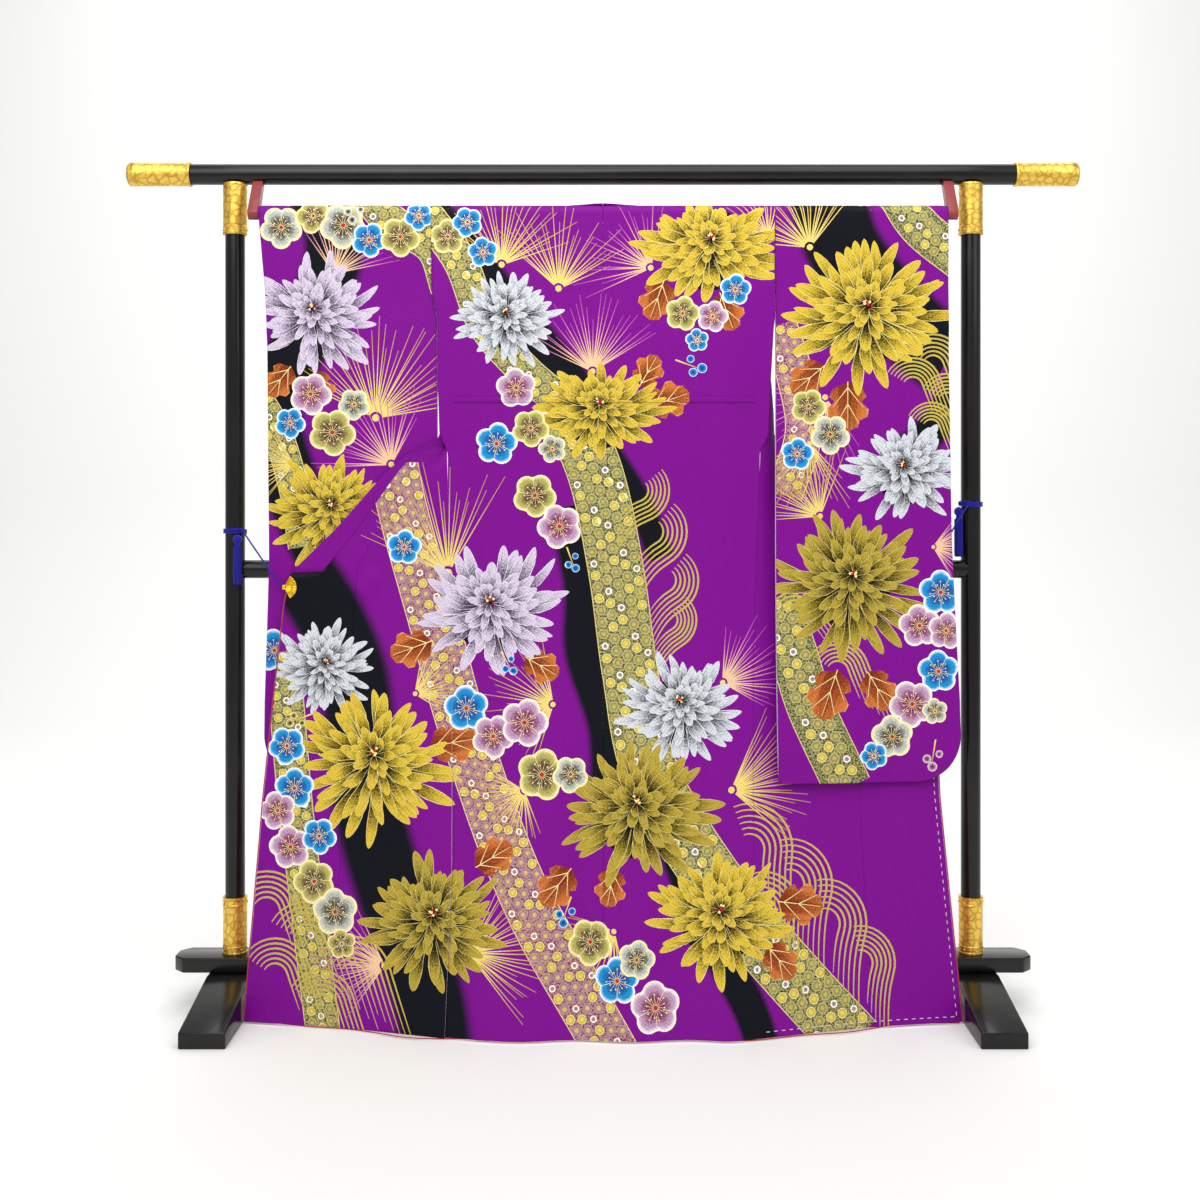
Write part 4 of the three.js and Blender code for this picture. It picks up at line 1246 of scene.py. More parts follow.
    def ribbon(
        self, course: Sequence[tuple[float, float]], half: float, dye: Dye, pitch: float = 21.0
    ) -> None:
        """Lay a brocade ribbon set with hexagons, rosettes and white rings.

        Args:
            course: Points along its middle.
            half: Half its width.
            dye: The brocade's two colours and its border's.
            pitch: The distance between its small figures.
        """
        middle = self.spline(course, 8)
        way = np.gradient(middle, axis=0)
        side = np.stack([-way[:, 1], way[:, 0]], 1) / np.hypot(*way.T)[:, None]
        self.add(np.concatenate([middle + side * half, (middle - side * half)[::-1]]), dye, brocade)
        for sign in (-1, 1):
            outer, inner = middle + sign * side * half, middle + sign * side * (half - 1.6)
            self.add(np.concatenate([outer, inner[::-1]]), Dye(dye.rim, dye.rim, dye.rim, gold=0.3))
        run = np.append(0, np.cumsum(np.hypot(*np.diff(middle, axis=0).T)))
        rows = int((half - pitch * 0.45) / (pitch * 0.87))
        for row in range(-rows, rows + 1):
            offset = row * pitch * 0.87
            for k, at in enumerate(
                np.arange(pitch * (0.5 + 0.5 * (row % 2)), run[-1] - pitch * 0.4, pitch)
            ):
                spot = np.array([np.interp(at, run, middle[:, c] + side[:, c] * offset) for c in (0, 1)])
                choice = (k * 2 + row * 3) % 7
                if choice in (0, 3):
                    self.rosette(spot, pitch * 0.4, ROSETTE, 12)
                elif choice == 1:
                    self.rosette(spot, pitch * 0.3, RING, 10)
                else:
                    self.rosette(spot, pitch * 0.47, MAUVE_KIKKO if dye is PINK_BROCADE else KIKKO, 6)

    def rosette(self, spot: Array, radius: float, dye: Dye, sides: int) -> None:
        """Lay a small round or six-sided figure."""

        def figure(places: Array) -> Array:
            share = np.hypot(*(places - spot).T) / (radius * math.cos(math.pi / sides))
            return np.stack([np.clip(share, 0, 1), np.clip(share, 0, 1)], 1)

        self.add(self.disc(spot, radius, sides), dye, figure)
        self.add(self.disc(spot, radius * 0.25, 5), dye)

    def waves(self, x: float, z: float, radius: float, start: float, sweep: float, rings: int = 6) -> None:
        """Lay a wave crest: nested gold lines that curl over and run out in a long tail.

        Args:
            x: The curl's middle, across.
            z: The curl's middle, up.
            radius: The outer line's reach.
            start: The direction of the tail, in degrees.
            sweep: How far round the curl goes, in degrees.
            rings: How many lines lie one in another.
        """
        centre = np.array([x, z])
        for k in range(rings):
            reach = radius * (1 - 0.13 * k)
            turns = np.radians(np.linspace(start + sweep, start, 12))
            curl = centre + reach * np.stack([np.cos(turns), np.sin(turns)], 1)
            way = np.array([math.sin(turns[-1]), -math.cos(turns[-1])])
            run = np.linspace(0.2, 1.0, 7)[:, None] * radius * (1.5 - 0.14 * k)
            fall = np.array([0.35, -0.75]) * (run**2) / (radius * 2.4)
            middle = np.concatenate([curl, curl[-1] + way * run + fall])
            along = np.gradient(middle, axis=0)
            side = np.stack([-along[:, 1], along[:, 0]], 1) / np.hypot(*along.T)[:, None]
            share = np.linspace(0, 1, len(middle))[:, None]
            half = 0.5 + 1.5 * np.sin(math.pi * np.clip(share * 0.9 + 0.1, 0, 1))
            self.add(
                np.concatenate([middle + side * half, (middle - side * half)[::-1]]), WAVE_LINE, brocade
            )

    def twig(self, x: float, z: float, length: float, angle: float, dye: Dye) -> None:
        """Lay a short twig with three round buds."""
        root = np.array([x, z])
        way = np.array([math.cos(math.radians(angle)), math.sin(math.radians(angle))])
        side = np.array([-way[1], way[0]])
        self.line(root, math.radians(angle), 0, length, 1.6, NEEDLE_GOLD)
        for k, (along, off) in enumerate(((0.5, 0.22), (0.75, -0.2), (1.0, 0.05))):
            bud = root + way * length * along + side * length * off
            self.rosette(bud, length * (0.14 + 0.02 * k), dye, 12)


@dataclass
class FurisodeLayout:
    """Where the motifs lie, on the body and on each sleeve, in an order from the ground up."""

    seed: int = 11

    def body(self) -> PrintDesign:
        """Lay out the back and the opened fronts as one continuous design."""
        made = PrintDesign(self.seed)
        made.band(((-352, 1580), (-262, 1468), (-150, 1330), (-62, 1222), (-6, 1120)), 26, 20)
        made.band(((-24, 1130), (62, 1000), (112, 880)), 17, 20)
        made.band(((-62, 980), (-32, 820), (-30, 700), (14, 560), (20, 430)), 34, 22)
        made.band(((118, 380), (190, 200), (268, 60), (300, -40)), 24, 16)
        long_band = (
            (-604, 880), (-530, 770), (-480, 655), (-462, 520), (-440, 380), (-390, 230), (-330, 90),
            (-300, -40)
        )
        made.band(long_band, 52, 34)
        made.ribbon(
            ((-352, 1556), (-276, 1452), (-228, 1330), (-150, 1240), (-86, 1186)), 33, GREEN_BROCADE
        )
        made.ribbon(
            ((-410, 1085), (-384, 960), (-330, 770), (-262, 540), (-150, 260), (20, -20)), 48, PINK_BROCADE
        )
        made.ribbon(
            ((-80, 1190), (-14, 1040), (26, 850), (52, 660), (92, 470), (214, 270), (340, 120), (470, -20)),
            54, GREEN_BROCADE, 23.0
        )
        made.ribbon(((-618, 700), (-590, 430), (-560, 220), (-522, -20)), 34, GREEN_BROCADE)
        for row in (
            (66, 1010, 62, -70, 110), (92, 930, 70, -60, 110), (118, 836, 66, -60, 110),
            (124, 760, 56, -60, 110), (276, 330, 84, -10, 120), (352, 262, 84, -20, 120),
            (420, 190, 80, -20, 120), (300, 220, 70, -10, 120), (486, 118, 66, -20, 120),
            (-640, 210, 74, 20, 130), (-560, 150, 80, 20, 130), (-470, 96, 74, 20, 130),
            (-620, 90, 70, 20, 130), (-530, 40, 66, 20, 130)
        ):
            made.waves(*row)
        for row in (
            (-196, 1446, 128, 20, 140, 26, NEEDLE_GOLD), (-86, 1400, 132, 25, 120, 24, NEEDLE_GOLD),
            (92, 1440, 118, 80, 130, 20, NEEDLE_PINK), (320, 1500, 90, 60, 140, 18, NEEDLE_GOLD),
            (-20, 1240, 118, 30, 130, 26, NEEDLE_PINK), (-300, 850, 170, 60, 100, 24, NEEDLE_GOLD),
            (-96, 600, 108, 100, 160, 26, NEEDLE_GOLD), (230, 640, 116, -30, 120, 22, NEEDLE_PINK),
            (244, 440, 132, -40, 110, 26, NEEDLE_GOLD), (-150, 440, 96, 150, 150, 22, NEEDLE_GOLD),
            (-360, 620, 96, -30, 120, 18, NEEDLE_GOLD), (-250, 150, 120, -50, 120, 26, NEEDLE_GOLD),
            (-410, 120, 110, 120, 120, 22, NEEDLE_PINK), (20, 190, 100, 160, 130, 20, NEEDLE_GOLD)
        ):
            made.pine(*row)
        for row in (
            (88, 1170, 84, 20), (70, 1210, 70, 60), (118, 1416, 82, 250), (226, 1392, 78, 290),
            (-330, 720, 84, 200), (-150, 690, 74, 330), (-330, 520, 92, 10), (-60, 300, 84, 230),
            (330, 236, 88, -10), (306, 160, 76, -50), (20, 300, 70, 260), (-240, 300, 80, 30)
        ):
            made.leaf(*row)
        for row in (
            (-186, 1340, 104, SILVER_PETAL, 0.86, 100), (-6, 1160, 128, GOLD_PETAL, 0.7, 90),
            (205, 1476, 146, GOLD_PETAL, 0.62, 80), (-214, 776, 142, MAUVE_PETAL, 0.84, 100),
            (154, 592, 118, SILVER_PETAL, 0.84, 110), (66, 400, 150, OLD_GOLD_PETAL, 0.84, 95),
            (218, 208, 132, GOLD_PETAL, 0.8, 85), (-540, 668, 98, SILVER_PETAL, 0.9, 60),
            (-440, 486, 152, GOLD_PETAL, 0.88, 80), (-322, 196, 138, OLD_GOLD_PETAL, 0.84, 80)
        ):
            made.chrysanthemum(*row)
        for row in (
            (-300, 1500, 30, OLIVE_PLUM), (-262, 1528, 26, BLUE_PLUM), (-232, 1470, 26, BLUE_PLUM),
            (-168, 1208, 34, MAUVE_PLUM), (-206, 1100, 36, BLUE_PLUM), (-140, 1130, 32, OLIVE_PLUM),
            (-98, 1090, 24, GREY_PLUM), (-132, 1000, 37, OLIVE_PLUM), (-84, 940, 38, MAUVE_PLUM),
            (154, 1352, 30, OLIVE_PLUM), (212, 1346, 27, MAUVE_PLUM), (256, 1398, 27, BLUE_PLUM),
            (182, 1300, 20, BLUE_PLUM), (-384, 900, 30, BLUE_PLUM), (-262, 592, 38, BLUE_PLUM),
            (-210, 540, 36, MAUVE_PLUM), (-150, 566, 40, MAUVE_PLUM), (-116, 470, 42, OLIVE_PLUM),
            (-62, 470, 30, GREY_PLUM), (-24, 170, 36, OLIVE_PLUM), (26, 106, 36, BLUE_PLUM),
            (62, 142, 30, GREY_PLUM), (96, 60, 40, MAUVE_PLUM), (-606, 520, 32, BLUE_PLUM),
            (-590, 440, 34, BLUE_PLUM), (-622, 398, 32, MAUVE_PLUM), (-596, 330, 36, MAUVE_PLUM),
            (-540, 352, 30, BLUE_PLUM), (-548, 268, 36, OLIVE_PLUM), (-506, 214, 38, GREY_PLUM),
            (-492, 156, 24, OLIVE_PLUM)
        ):
            made.plum(*row, made.rng.uniform(0, 1.2))
        for row in (
            (140, 1262, 54, -20, BLUE_PLUM), (-70, 900, 44, -70, BLUE_PLUM),
            (-196, 700, 44, 300, BLUE_PLUM), (-60, 250, 48, 250, BLUE_PLUM),
            (-560, 580, 44, 200, OLIVE_PLUM)
        ):
            made.twig(*row)
        return made

    def left_sleeve(self) -> PrintDesign:
        """Lay out the left sleeve as seen."""
        made = PrintDesign(self.seed + 1)
        made.band(
            ((-560, 1600), (-520, 1480), (-566, 1330), (-640, 1180), (-600, 1010), (-540, 880)), 44, 26
        )
        made.ribbon(((-700, 1230), (-636, 1130), (-598, 1010), (-580, 900)), 30, GREEN_BROCADE)
        made.ribbon(((-470, 1600), (-410, 1530), (-330, 1480), (-300, 1400)), 34, GREEN_BROCADE)
        for row in (
            (-440, 1150, 150, 10, 150, 34, NEEDLE_GOLD), (-410, 1060, 120, 60, 130, 22, NEEDLE_PINK),
            (-520, 1430, 110, 10, 120, 20, NEEDLE_PINK), (-600, 1060, 90, 120, 120, 18, NEEDLE_GOLD)
        ):
            made.pine(*row)
        made.leaf(-604, 1250, 74, 230)
        made.leaf(-560, 1240, 70, 290)
        made.chrysanthemum(-556, 1346, 120, MAUVE_PETAL, 0.92, 110)
        made.chrysanthemum(-532, 968, 116, GOLD_PETAL, 0.95, 70)
        for row in (
            (-622, 1518, 36, GREY_PLUM), (-560, 1540, 30, OLIVE_PLUM), (-502, 1522, 40, GREY_PLUM),
            (-452, 1494, 30, BLUE_PLUM), (-566, 1196, 36, MAUVE_PLUM), (-524, 1122, 40, OLIVE_PLUM),
            (-482, 1176, 27, GREY_PLUM), (-606, 1140, 27, BLUE_PLUM), (-392, 1500, 34, OLIVE_PLUM),
            (-356, 1540, 25, BLUE_PLUM), (-636, 700, 36, BLUE_PLUM), (-600, 640, 28, MAUVE_PLUM)
        ):
            made.plum(*row, made.rng.uniform(0, 1.2))
        made.twig(-470, 1580, 50, 250, GREY_PLUM)
        return made

    def right_sleeve(self) -> PrintDesign:
        """Lay out the right sleeve as seen."""
        made = PrintDesign(self.seed + 2)
        made.band(((430, 1600), (470, 1470), (590, 1330), (700, 1240)), 62, 26)
        made.band(((700, 1230), (640, 1130), (560, 1060)), 24, 20)
        made.ribbon(((340, 1330), (372, 1230), (388, 1120), (350, 1000)), 36, PINK_BROCADE)
        made.ribbon(((560, 1600), (612, 1520), (700, 1450)), 40, GREEN_BROCADE)
        made.ribbon(((330, 800), (366, 700), (400, 590), (470, 440)), 46, GREEN_BROCADE, 24.0)
        for row in (
            (640, 1250, 62, 20, 130), (668, 1180, 56, 20, 130), (600, 1210, 56, 20, 130),
            (636, 1130, 50, 20, 130), (372, 760, 62, 40, 120), (452, 660, 60, 20, 130)
        ):
            made.waves(*row)
        for row in (
            (400, 1480, 130, 50, 130, 24, NEEDLE_GOLD), (430, 1190, 120, 150, 160, 24, NEEDLE_PINK),
            (400, 1100, 110, 200, 120, 20, NEEDLE_GOLD), (420, 960, 112, 70, 120, 22, NEEDLE_GOLD),
            (640, 900, 80, -60, 120, 18, NEEDLE_PINK)
        ):
            made.pine(*row)
        made.leaf(474, 1220, 96, 270)
        made.leaf(430, 1252, 84, 220)
        made.leaf(452, 664, 100, 250)
        made.leaf(510, 660, 84, 300)
        made.chrysanthemum(508, 1346, 166, GOLD_PETAL, 0.86, 75)
        made.chrysanthemum(590, 1046, 116, SILVER_PETAL, 0.8, 120)
        made.chrysanthemum(476, 826, 150, OLD_GOLD_PETAL, 0.92, 70)
        for row in (
            (398, 1172, 30, OLIVE_PLUM), (440, 1118, 34, GREY_PLUM), (376, 1080, 28, BLUE_PLUM),
            (654, 812, 38, BLUE_PLUM), (612, 748, 36, MAUVE_PLUM), (664, 738, 32, MAUVE_PLUM),
            (648, 660, 36, BLUE_PLUM), (596, 598, 40, MAUVE_PLUM), (556, 536, 36, GREY_PLUM),
            (640, 584, 22, GREY_PLUM), (520, 500, 24, BLUE_PLUM)
        ):
            made.plum(*row, made.rng.uniform(0, 1.2))
        made.twig(640, 530, 52, 260, MAUVE_PLUM)
        return made

    def sleeve_behind(self, side: Side) -> PrintDesign:
        """Lay out the wall of a sleeve that faces away, with the same motifs in another order."""
        made = PrintDesign(self.seed + (3 if side is Side.LEFT else 4))
        s = side.sign
        made.band(((s * 300, 1500), (s * 420, 1380), (s * 560, 1290), (s * 720, 1240)), 46, 24)
        made.ribbon(((s * 650, 1600), (s * 590, 1420), (s * 640, 1200), (s * 600, 1000)), 34, PINK_BROCADE)
        made.ribbon(((s * 330, 860), (s * 420, 700), (s * 500, 560), (s * 620, 430)), 44, GREEN_BROCADE)
        made.pine(s * 430, 1500, 120, 200, 140, 24, NEEDLE_GOLD)
        made.pine(s * 560, 1120, 120, 30, 120, 24, NEEDLE_PINK)
        made.pine(s * 560, 700, 110, 20, 120, 24, NEEDLE_GOLD)
        made.leaf(s * 420, 1240, 90, 250)
        made.leaf(s * 540, 860, 86, 290)
        made.chrysanthemum(s * 440, 1350, 120, SILVER_PETAL, 0.86, 80)
        made.chrysanthemum(s * 540, 960, 146, GOLD_PETAL, 0.88, 100)
        made.chrysanthemum(s * 430, 600, 116, MAUVE_PETAL, 0.86, 90)
        for x, z, radius, dye in (
            (560, 1480, 36, BLUE_PLUM), (610, 1420, 32, OLIVE_PLUM), (380, 1180, 34, MAUVE_PLUM),
            (420, 1120, 30, BLUE_PLUM), (400, 780, 36, GREY_PLUM), (350, 720, 30, MAUVE_PLUM),
            (600, 620, 36, OLIVE_PLUM), (560, 540, 30, BLUE_PLUM)
        ):
            made.plum(s * x, z, radius, dye, made.rng.uniform(0, 1.2))
        return made


# Cloth widths: an outside of printed silk, a lining inside, and the turned edge between
@dataclass
class ClothWidth:
    """One width of cloth as a thin closed shell with its print worked into its outside."""

    name: str
    surface: Surface
    outline: Array
    design: Optional[PrintDesign] = None
    spacing: float = 15.0
    fine_rows: tuple[float, float] = (0.0, 0.0)
    thickness: float = WALL
    red_below: float = 430.0
    roll: float = 0.7
    shown_margin: float = 20.0
    narrow_spacing: float = 10.0
    top_inset: float = 14.0
    foot_margin: float = 6.0
    line_inset: float = 8.0
    lining_coarser: float = 1.6
    edge_tilt: float = 0.9

    def inner_points(self, spacing: float) -> list[Vector]:
        """Points inside the outline that let the cloth follow its surface."""
        low, high = self.outline.min(0), self.outline.max(0)
        heights = np.arange(low[1] + spacing * 0.6, high[1] - 2.0, spacing)
        over = np.arange(POLE.z - 6, POLE.top - 1, 3.5)
        fine = np.arange(*self.fine_rows, 6.0) if self.fine_rows[1] else np.array([])
        rows = np.concatenate([heights, over[over < high[1] - 1], fine])
        columns = np.arange(low[0] + spacing * 0.5, high[0], spacing)
        places = np.array([(x, z) for z in rows for x in columns]).reshape(-1, 2)
        return [Vector(p) for p in places[inside(self.outline, places, min(2.5, spacing * 0.3))]]

    def edge_points(self, inset: float = 3.0) -> Array:
        """Points just inside the outline, so that the turned edge stays narrow."""
        ahead, behind = np.roll(self.outline, -1, axis=0), np.roll(self.outline, 1, axis=0)
        way = ahead - behind
        way /= np.maximum(np.hypot(*way.T), TINY)[:, None]
        places = self.outline + inset * np.stack([-way[:, 1], way[:, 0]], axis=1)
        return places[inside(self.outline, places, inset * 0.8)]

    def patches(self) -> list[Patch]:
        """The design's patches that touch this width."""
        if not self.design:
            return []
        heights = np.minimum(self.outline[:, 1], self.surface.shown_below)
        shown = self.surface.display(self.outline[:, 0], heights)
        low, high = shown.min(0), shown.max(0)
        kept = []
        for patch in self.design.patches:
            a, b = patch.outline.min(0), patch.outline.max(0)
            within = a[1] < self.surface.shown_below - self.shown_margin and b[1] > 0
            if within and (b > low).all() and (a < high).all():
                kept.append(patch)
        return kept

    def build(self, materials: Sequence[Material]) -> Object:
        """Make the shell.

        Args:
            materials: The printed silk, the pale lining and the red lining.

        Returns:
            The width of cloth as one closed mesh.
        """
        kept = self.patches()
        points = [Vector(p) for p in self.outline]
        faces = [list(range(len(points)))]
        edges: list[tuple[int, int]] = []
        if kept:
            top_limit, foot_limit = self.surface.shown_below - self.top_inset, -self.foot_margin
            split = [split_long(cut_off(cut_off(p.outline, top_limit, 1), foot_limit, -1)) for p in kept]
            rings = self.surface.flat(np.concatenate(split))
            at = 0
            for outline in split:
                ring = ccw(rings[at : at + len(outline)])
                at += len(outline)
                start = len(points)
                points.extend(Vector(p) for p in ring)
                faces.append(list(range(start, start + len(ring))))
            for patch in kept:
                for line in patch.lines:
                    line = np.asarray(line)
                    line = line[line[:, 1] < top_limit - self.line_inset]
                    start = len(points)
                    if len(line) < 2:
                        continue
                    points.extend(Vector(p) for p in self.surface.flat(line))
                    edges.extend((start + k, start + k + 1) for k in range(len(line) - 1))
        points.extend(self.inner_points(self.spacing))
        if self.spacing > self.narrow_spacing:
            points.extend(Vector(p) for p in self.edge_points())
        flat, _, triangles, _, _, origins = delaunay_2d_cdt(points, edges, faces, 0, 1e-4, True)
        kept_faces = [(t, max(o)) for t, o in zip(triangles, origins) if o and 0 in o and len(t) == 3]
        plane = np.array([v[:] for v in flat])
        corners = np.array([t for t, _ in kept_faces])
        top = np.array([o for _, o in kept_faces])
        used = np.unique(corners)
        renumber = np.full(len(plane), -1)
        renumber[used] = np.arange(len(used))
        plane, corners = plane[used], renumber[corners]
        loop = boundary_loop(corners)
        return self.shell(plane, corners, top, kept, loop, materials)

    def shell(
        self, plane: Array, corners: Array, top: Array, kept: list[Patch], loop: list[int],
        materials: Sequence[Material]
    ) -> Object:
        """Close the printed outside with a lining and an edge, and give the faces their dyes.

        Args:
            plane: The outside's points in the flat plane.
            corners: Its triangles.
            top: For each triangle, the number of the patch on top, or 0 for the ground.
            kept: The patches, numbered from 1.
            loop: The outside's edge, counterclockwise.
            materials: The printed silk, the pale lining and the red lining.

        Returns:
            The finished object.
        """
        ring = plane[loop]
        points = [Vector(p) for p in ring] + self.inner_points(self.spacing * self.lining_coarser)
        flat, _, triangles, origins, _, owners = delaunay_2d_cdt(
            points, [], [list(range(len(ring)))], 0, 1e-6, True
        )
        lining = [face for face, owner in zip(triangles, owners) if owner]
        inner_plane = np.array([v[:] for v in flat])
        inner_of = {}
        for k, sources in enumerate(origins):
            for source in sources:
                inner_of[source] = k
        count = len(plane)
        outer_n = self.surface.normals(plane[:, 0], plane[:, 1])
        inner_n = self.surface.normals(inner_plane[:, 0], inner_plane[:, 1])
        half = self.thickness / 2
        outer = self.surface.mid(plane[:, 0], plane[:, 1]) + outer_n * half
        inner = self.surface.mid(inner_plane[:, 0], inner_plane[:, 1]) - inner_n * half
        if self.spacing > self.narrow_spacing:
            outer[loop] -= outer_n[loop] * self.roll
            outer_n[loop] = self.rolled(plane[loop], outer_n[loop])
        flipped = self.surface.outward < 0
        outer_faces = corners[:, ::-1] if flipped else corners
        inner_faces = [list(f) if flipped else list(f)[::-1] for f in lining]
        rim = []
        for k, a in enumerate(loop):
            b = loop[(k + 1) % len(loop)]
            ia, ib = inner_of[k] + count, inner_of[(k + 1) % len(loop)] + count
            rim.append([a, ia, ib, b] if not flipped else [a, b, ib, ia])
        vertices = np.concatenate([outer, inner])
        faces = outer_faces.tolist() + [[c + count for c in f] for f in inner_faces] + rim
        obj = new_piece(self.name, vertices, faces, materials)
        mesh = obj.data
        both = np.concatenate([plane, inner_plane])
        corner_of = np.zeros(len(mesh.loops), int)
        mesh.loops.foreach_get("vertex_index", corner_of)
        self.paint(mesh, both[corner_of], outer_faces, top, kept)
        heights = [float(np.mean(inner_plane[list(f), 1])) for f in inner_faces]
        index = [0] * len(outer_faces) + [2 if h < self.red_below else 1 for h in heights] + [0] * len(rim)
        mesh.polygons.foreach_set("material_index", index)
        normals = np.concatenate([outer_n, -inner_n])[corner_of]
        rim_start = 3 * len(outer_faces) + sum(len(f) for f in inner_faces)
        for k in range(len(rim)):
            polygon = mesh.polygons[len(outer_faces) + len(inner_faces) + k]
            normals[rim_start + 4 * k : rim_start + 4 * k + 4] = polygon.normal[:]
        mesh.normals_split_custom_set(normals.tolist())
        return obj

    def rolled(self, ring: Array, normals: Array) -> Array:
        """Normals along an edge, tilted outwards as where cloth turns in at a seam."""
        way = np.roll(ring, -1, axis=0) - np.roll(ring, 1, axis=0)
        out = np.stack([way[:, 1], -way[:, 0]], axis=1) / np.maximum(np.hypot(*way.T), TINY)[:, None]
        ahead = ring + out
        turned = self.surface.mid(ahead[:, 0], ahead[:, 1]) - self.surface.mid(ring[:, 0], ring[:, 1])
        turned /= np.maximum(np.linalg.norm(turned, axis=1, keepdims=True), 1e-6)
        tilted = normals + self.edge_tilt * turned
        return tilted / np.linalg.norm(tilted, axis=1, keepdims=True)

    def paint(self, mesh: Mesh, places: Array, outer_faces: Array, top: Array, kept: list[Patch]) -> None:
        """Write the dyes, the figures and the cloth's own measure on the corners of a mesh."""
        total = len(places)
        write_uv(mesh, "cloth", places * MM)
        outside = 3 * len(outer_faces)
        figure = np.zeros((total, 2), np.float32)
        colours = (GROUND.near, GROUND.far, GROUND.rim)
        near, far, rim = (np.tile(linear(code, 0.0), (total, 1)) for code in colours)
        if kept:
            seen = self.surface.display(places[:outside, 0], places[:outside, 1])
            owners = np.repeat(top, 3)
            order = np.argsort(owners, kind="stable")
            starts = np.searchsorted(owners[order], np.arange(1, len(kept) + 2))
            for k, patch in enumerate(kept):
                mine = order[starts[k] : starts[k + 1]]
                if not len(mine):
                    continue
                figure[mine] = patch.figure(seen[mine])
                near[mine] = linear(patch.dye.near, patch.dye.gold)
                far[mine] = linear(patch.dye.far, patch.dye.streak)
                rim[mine] = linear(patch.dye.rim, patch.dye.rim_share)
        write_uv(mesh, "figure", figure)
        for name, values in zip(DYE_LAYERS, (near, far, rim)):
            write_colour(mesh, name, values)
        low, high = places.min(0), places.max(0)
        unit = (places - low) / (high - low).max()
        spread = unit * 0.48 + 0.01
        spread[outside:, 0] += 0.5 * (high - low)[0] / (high - low).max() + 0.02
        write_uv(mesh, "OFBake", spread)
        mesh.uv_layers.active = mesh.uv_layers["cloth"]


def cut_off(outline: Array, limit: float, sign: int) -> Array:
    """Cut an outline at a height: sign 1 takes away what lies above it, and -1 what lies below."""
    kept = []
    for a, b in zip(outline, np.roll(outline, -1, axis=0)):
        a_in, b_in = sign * (limit - a[1]) > 0, sign * (limit - b[1]) > 0
        if a_in:
            kept.append(a)
        if a_in != b_in:
            kept.append(a + (b - a) * (limit - a[1]) / (b[1] - a[1]))
    return np.array(kept).reshape(-1, 2)


def split_long(outline: Array, longest: float = 14.0, over_pole: float = 4.0) -> Array:
    """Add points along an outline's long edges, more of them where the cloth bends over the pole."""
    rings = []
    for a, b in zip(outline, np.roll(outline, -1, axis=0)):
        step = over_pole if max(a[1], b[1]) > POLE.z - 12 else longest
        count = max(1, math.ceil(float(np.hypot(*(b - a))) / step))
        rings.append(a + (b - a) * (np.arange(count) / count)[:, None])
    return np.concatenate(rings)


def inside(ring: Array, places: Array, margin: float) -> Array:
    """Which places lie inside an outline, and no nearer to it than a margin."""
    hit = np.zeros(len(places), bool)
    near = np.full(len(places), 1e9)
    x, z = places.T
    for a, b in zip(ring, np.roll(ring, -1, axis=0)):
        if abs(b[1] - a[1]) > 1e-9:
            crosses = (a[1] > z) != (b[1] > z)
            hit ^= crosses & (x < (b[0] - a[0]) * (z - a[1]) / (b[1] - a[1]) + a[0])
        run = b - a
        share = np.clip(((places - a) @ run) / max(float(run @ run), TINY), 0, 1)
        near = np.minimum(near, np.hypot(*(places - a - share[:, None] * run).T))
    return hit & (near > margin)


def boundary_loop(corners: Array) -> list[int]:
    """The outer edge of a sheet of triangles, in the direction of its faces."""
    following = {}
    seen = set()
    for a, b, c in corners:
        for edge in ((a, b), (b, c), (c, a)):
            seen.add((int(edge[0]), int(edge[1])))
    for a, b in seen:
        if (b, a) not in seen:
            following[a] = b
    start = next(iter(following))
    loop = [start]
    while following[loop[-1]] != start:
        loop.append(following[loop[-1]])
    return loop


def cut_size(surface: Surface, outline: Array) -> tuple[tuple[float, float], float]:
    """Measure a cut along its cloth.

    Args:
        surface: The surface that the cut lies on.
        outline: Its edge in the flat plane.

    Returns:
        Its width and length in metres, and its area in square metres.
    """
    ends = np.roll(outline, -1, axis=0)
    low, high = outline[:, 1].min(), outline[:, 1].max()
    heights = np.linspace(low + 0.01 * (high - low), high - 0.01 * (high - low), 50)
    widths = []
    for h in heights:
        crossed = (outline[:, 1] > h) != (ends[:, 1] > h)
        a, b = outline[crossed], ends[crossed]
        us = a[:, 0] + (b[:, 0] - a[:, 0]) * (h - a[:, 1]) / (b[:, 1] - a[:, 1])
        row = surface.mid(np.linspace(us.min(), us.max(), 50), np.full(50, h))
        widths.append(float(np.linalg.norm(np.diff(row, axis=0), axis=1).sum()))
    area = float(np.mean(widths)) * (high - low)
    return (max(widths) * MM, float(high - low) * MM), area * MM * MM


@dataclass
class TuckSurface(BackSurface):
    """The fold of cloth sewn across the back, lying on the back and rounded off at its two edges."""

    low: float = 1180.4
    high: float = 1190.8
    wall: float = 1.6

    def mid(self, u: Array, h: Array) -> Array:
        """Points in space for points of the flat plane."""
        out = WALL / 2 + GAP + self.wall / 2
        away = np.clip((h - self.low) / (self.high - self.low) * 2 - 1, -1, 1)
        rise = 0.5 * (1 - away**2)
        return super().mid(u, h) - np.stack([np.zeros_like(u), out + rise, np.zeros_like(u)], axis=-1)

    def outline(self) -> Array:
        """The tuck's edge in its flat plane, counterclockwise."""
        half = float(SIDE_LINE[self.side].at("half", 1186.0))
        xs = np.linspace(0.02, 0.95, 40) * half
        low = np.stack([xs, np.full_like(xs, self.low)], 1)
        high = np.stack([xs, np.full_like(xs, self.high)], 1)[::-1]
        ring = np.concatenate([low, high])
        return ring if self.side is Side.RIGHT else (ring * (-1, 1))[::-1]


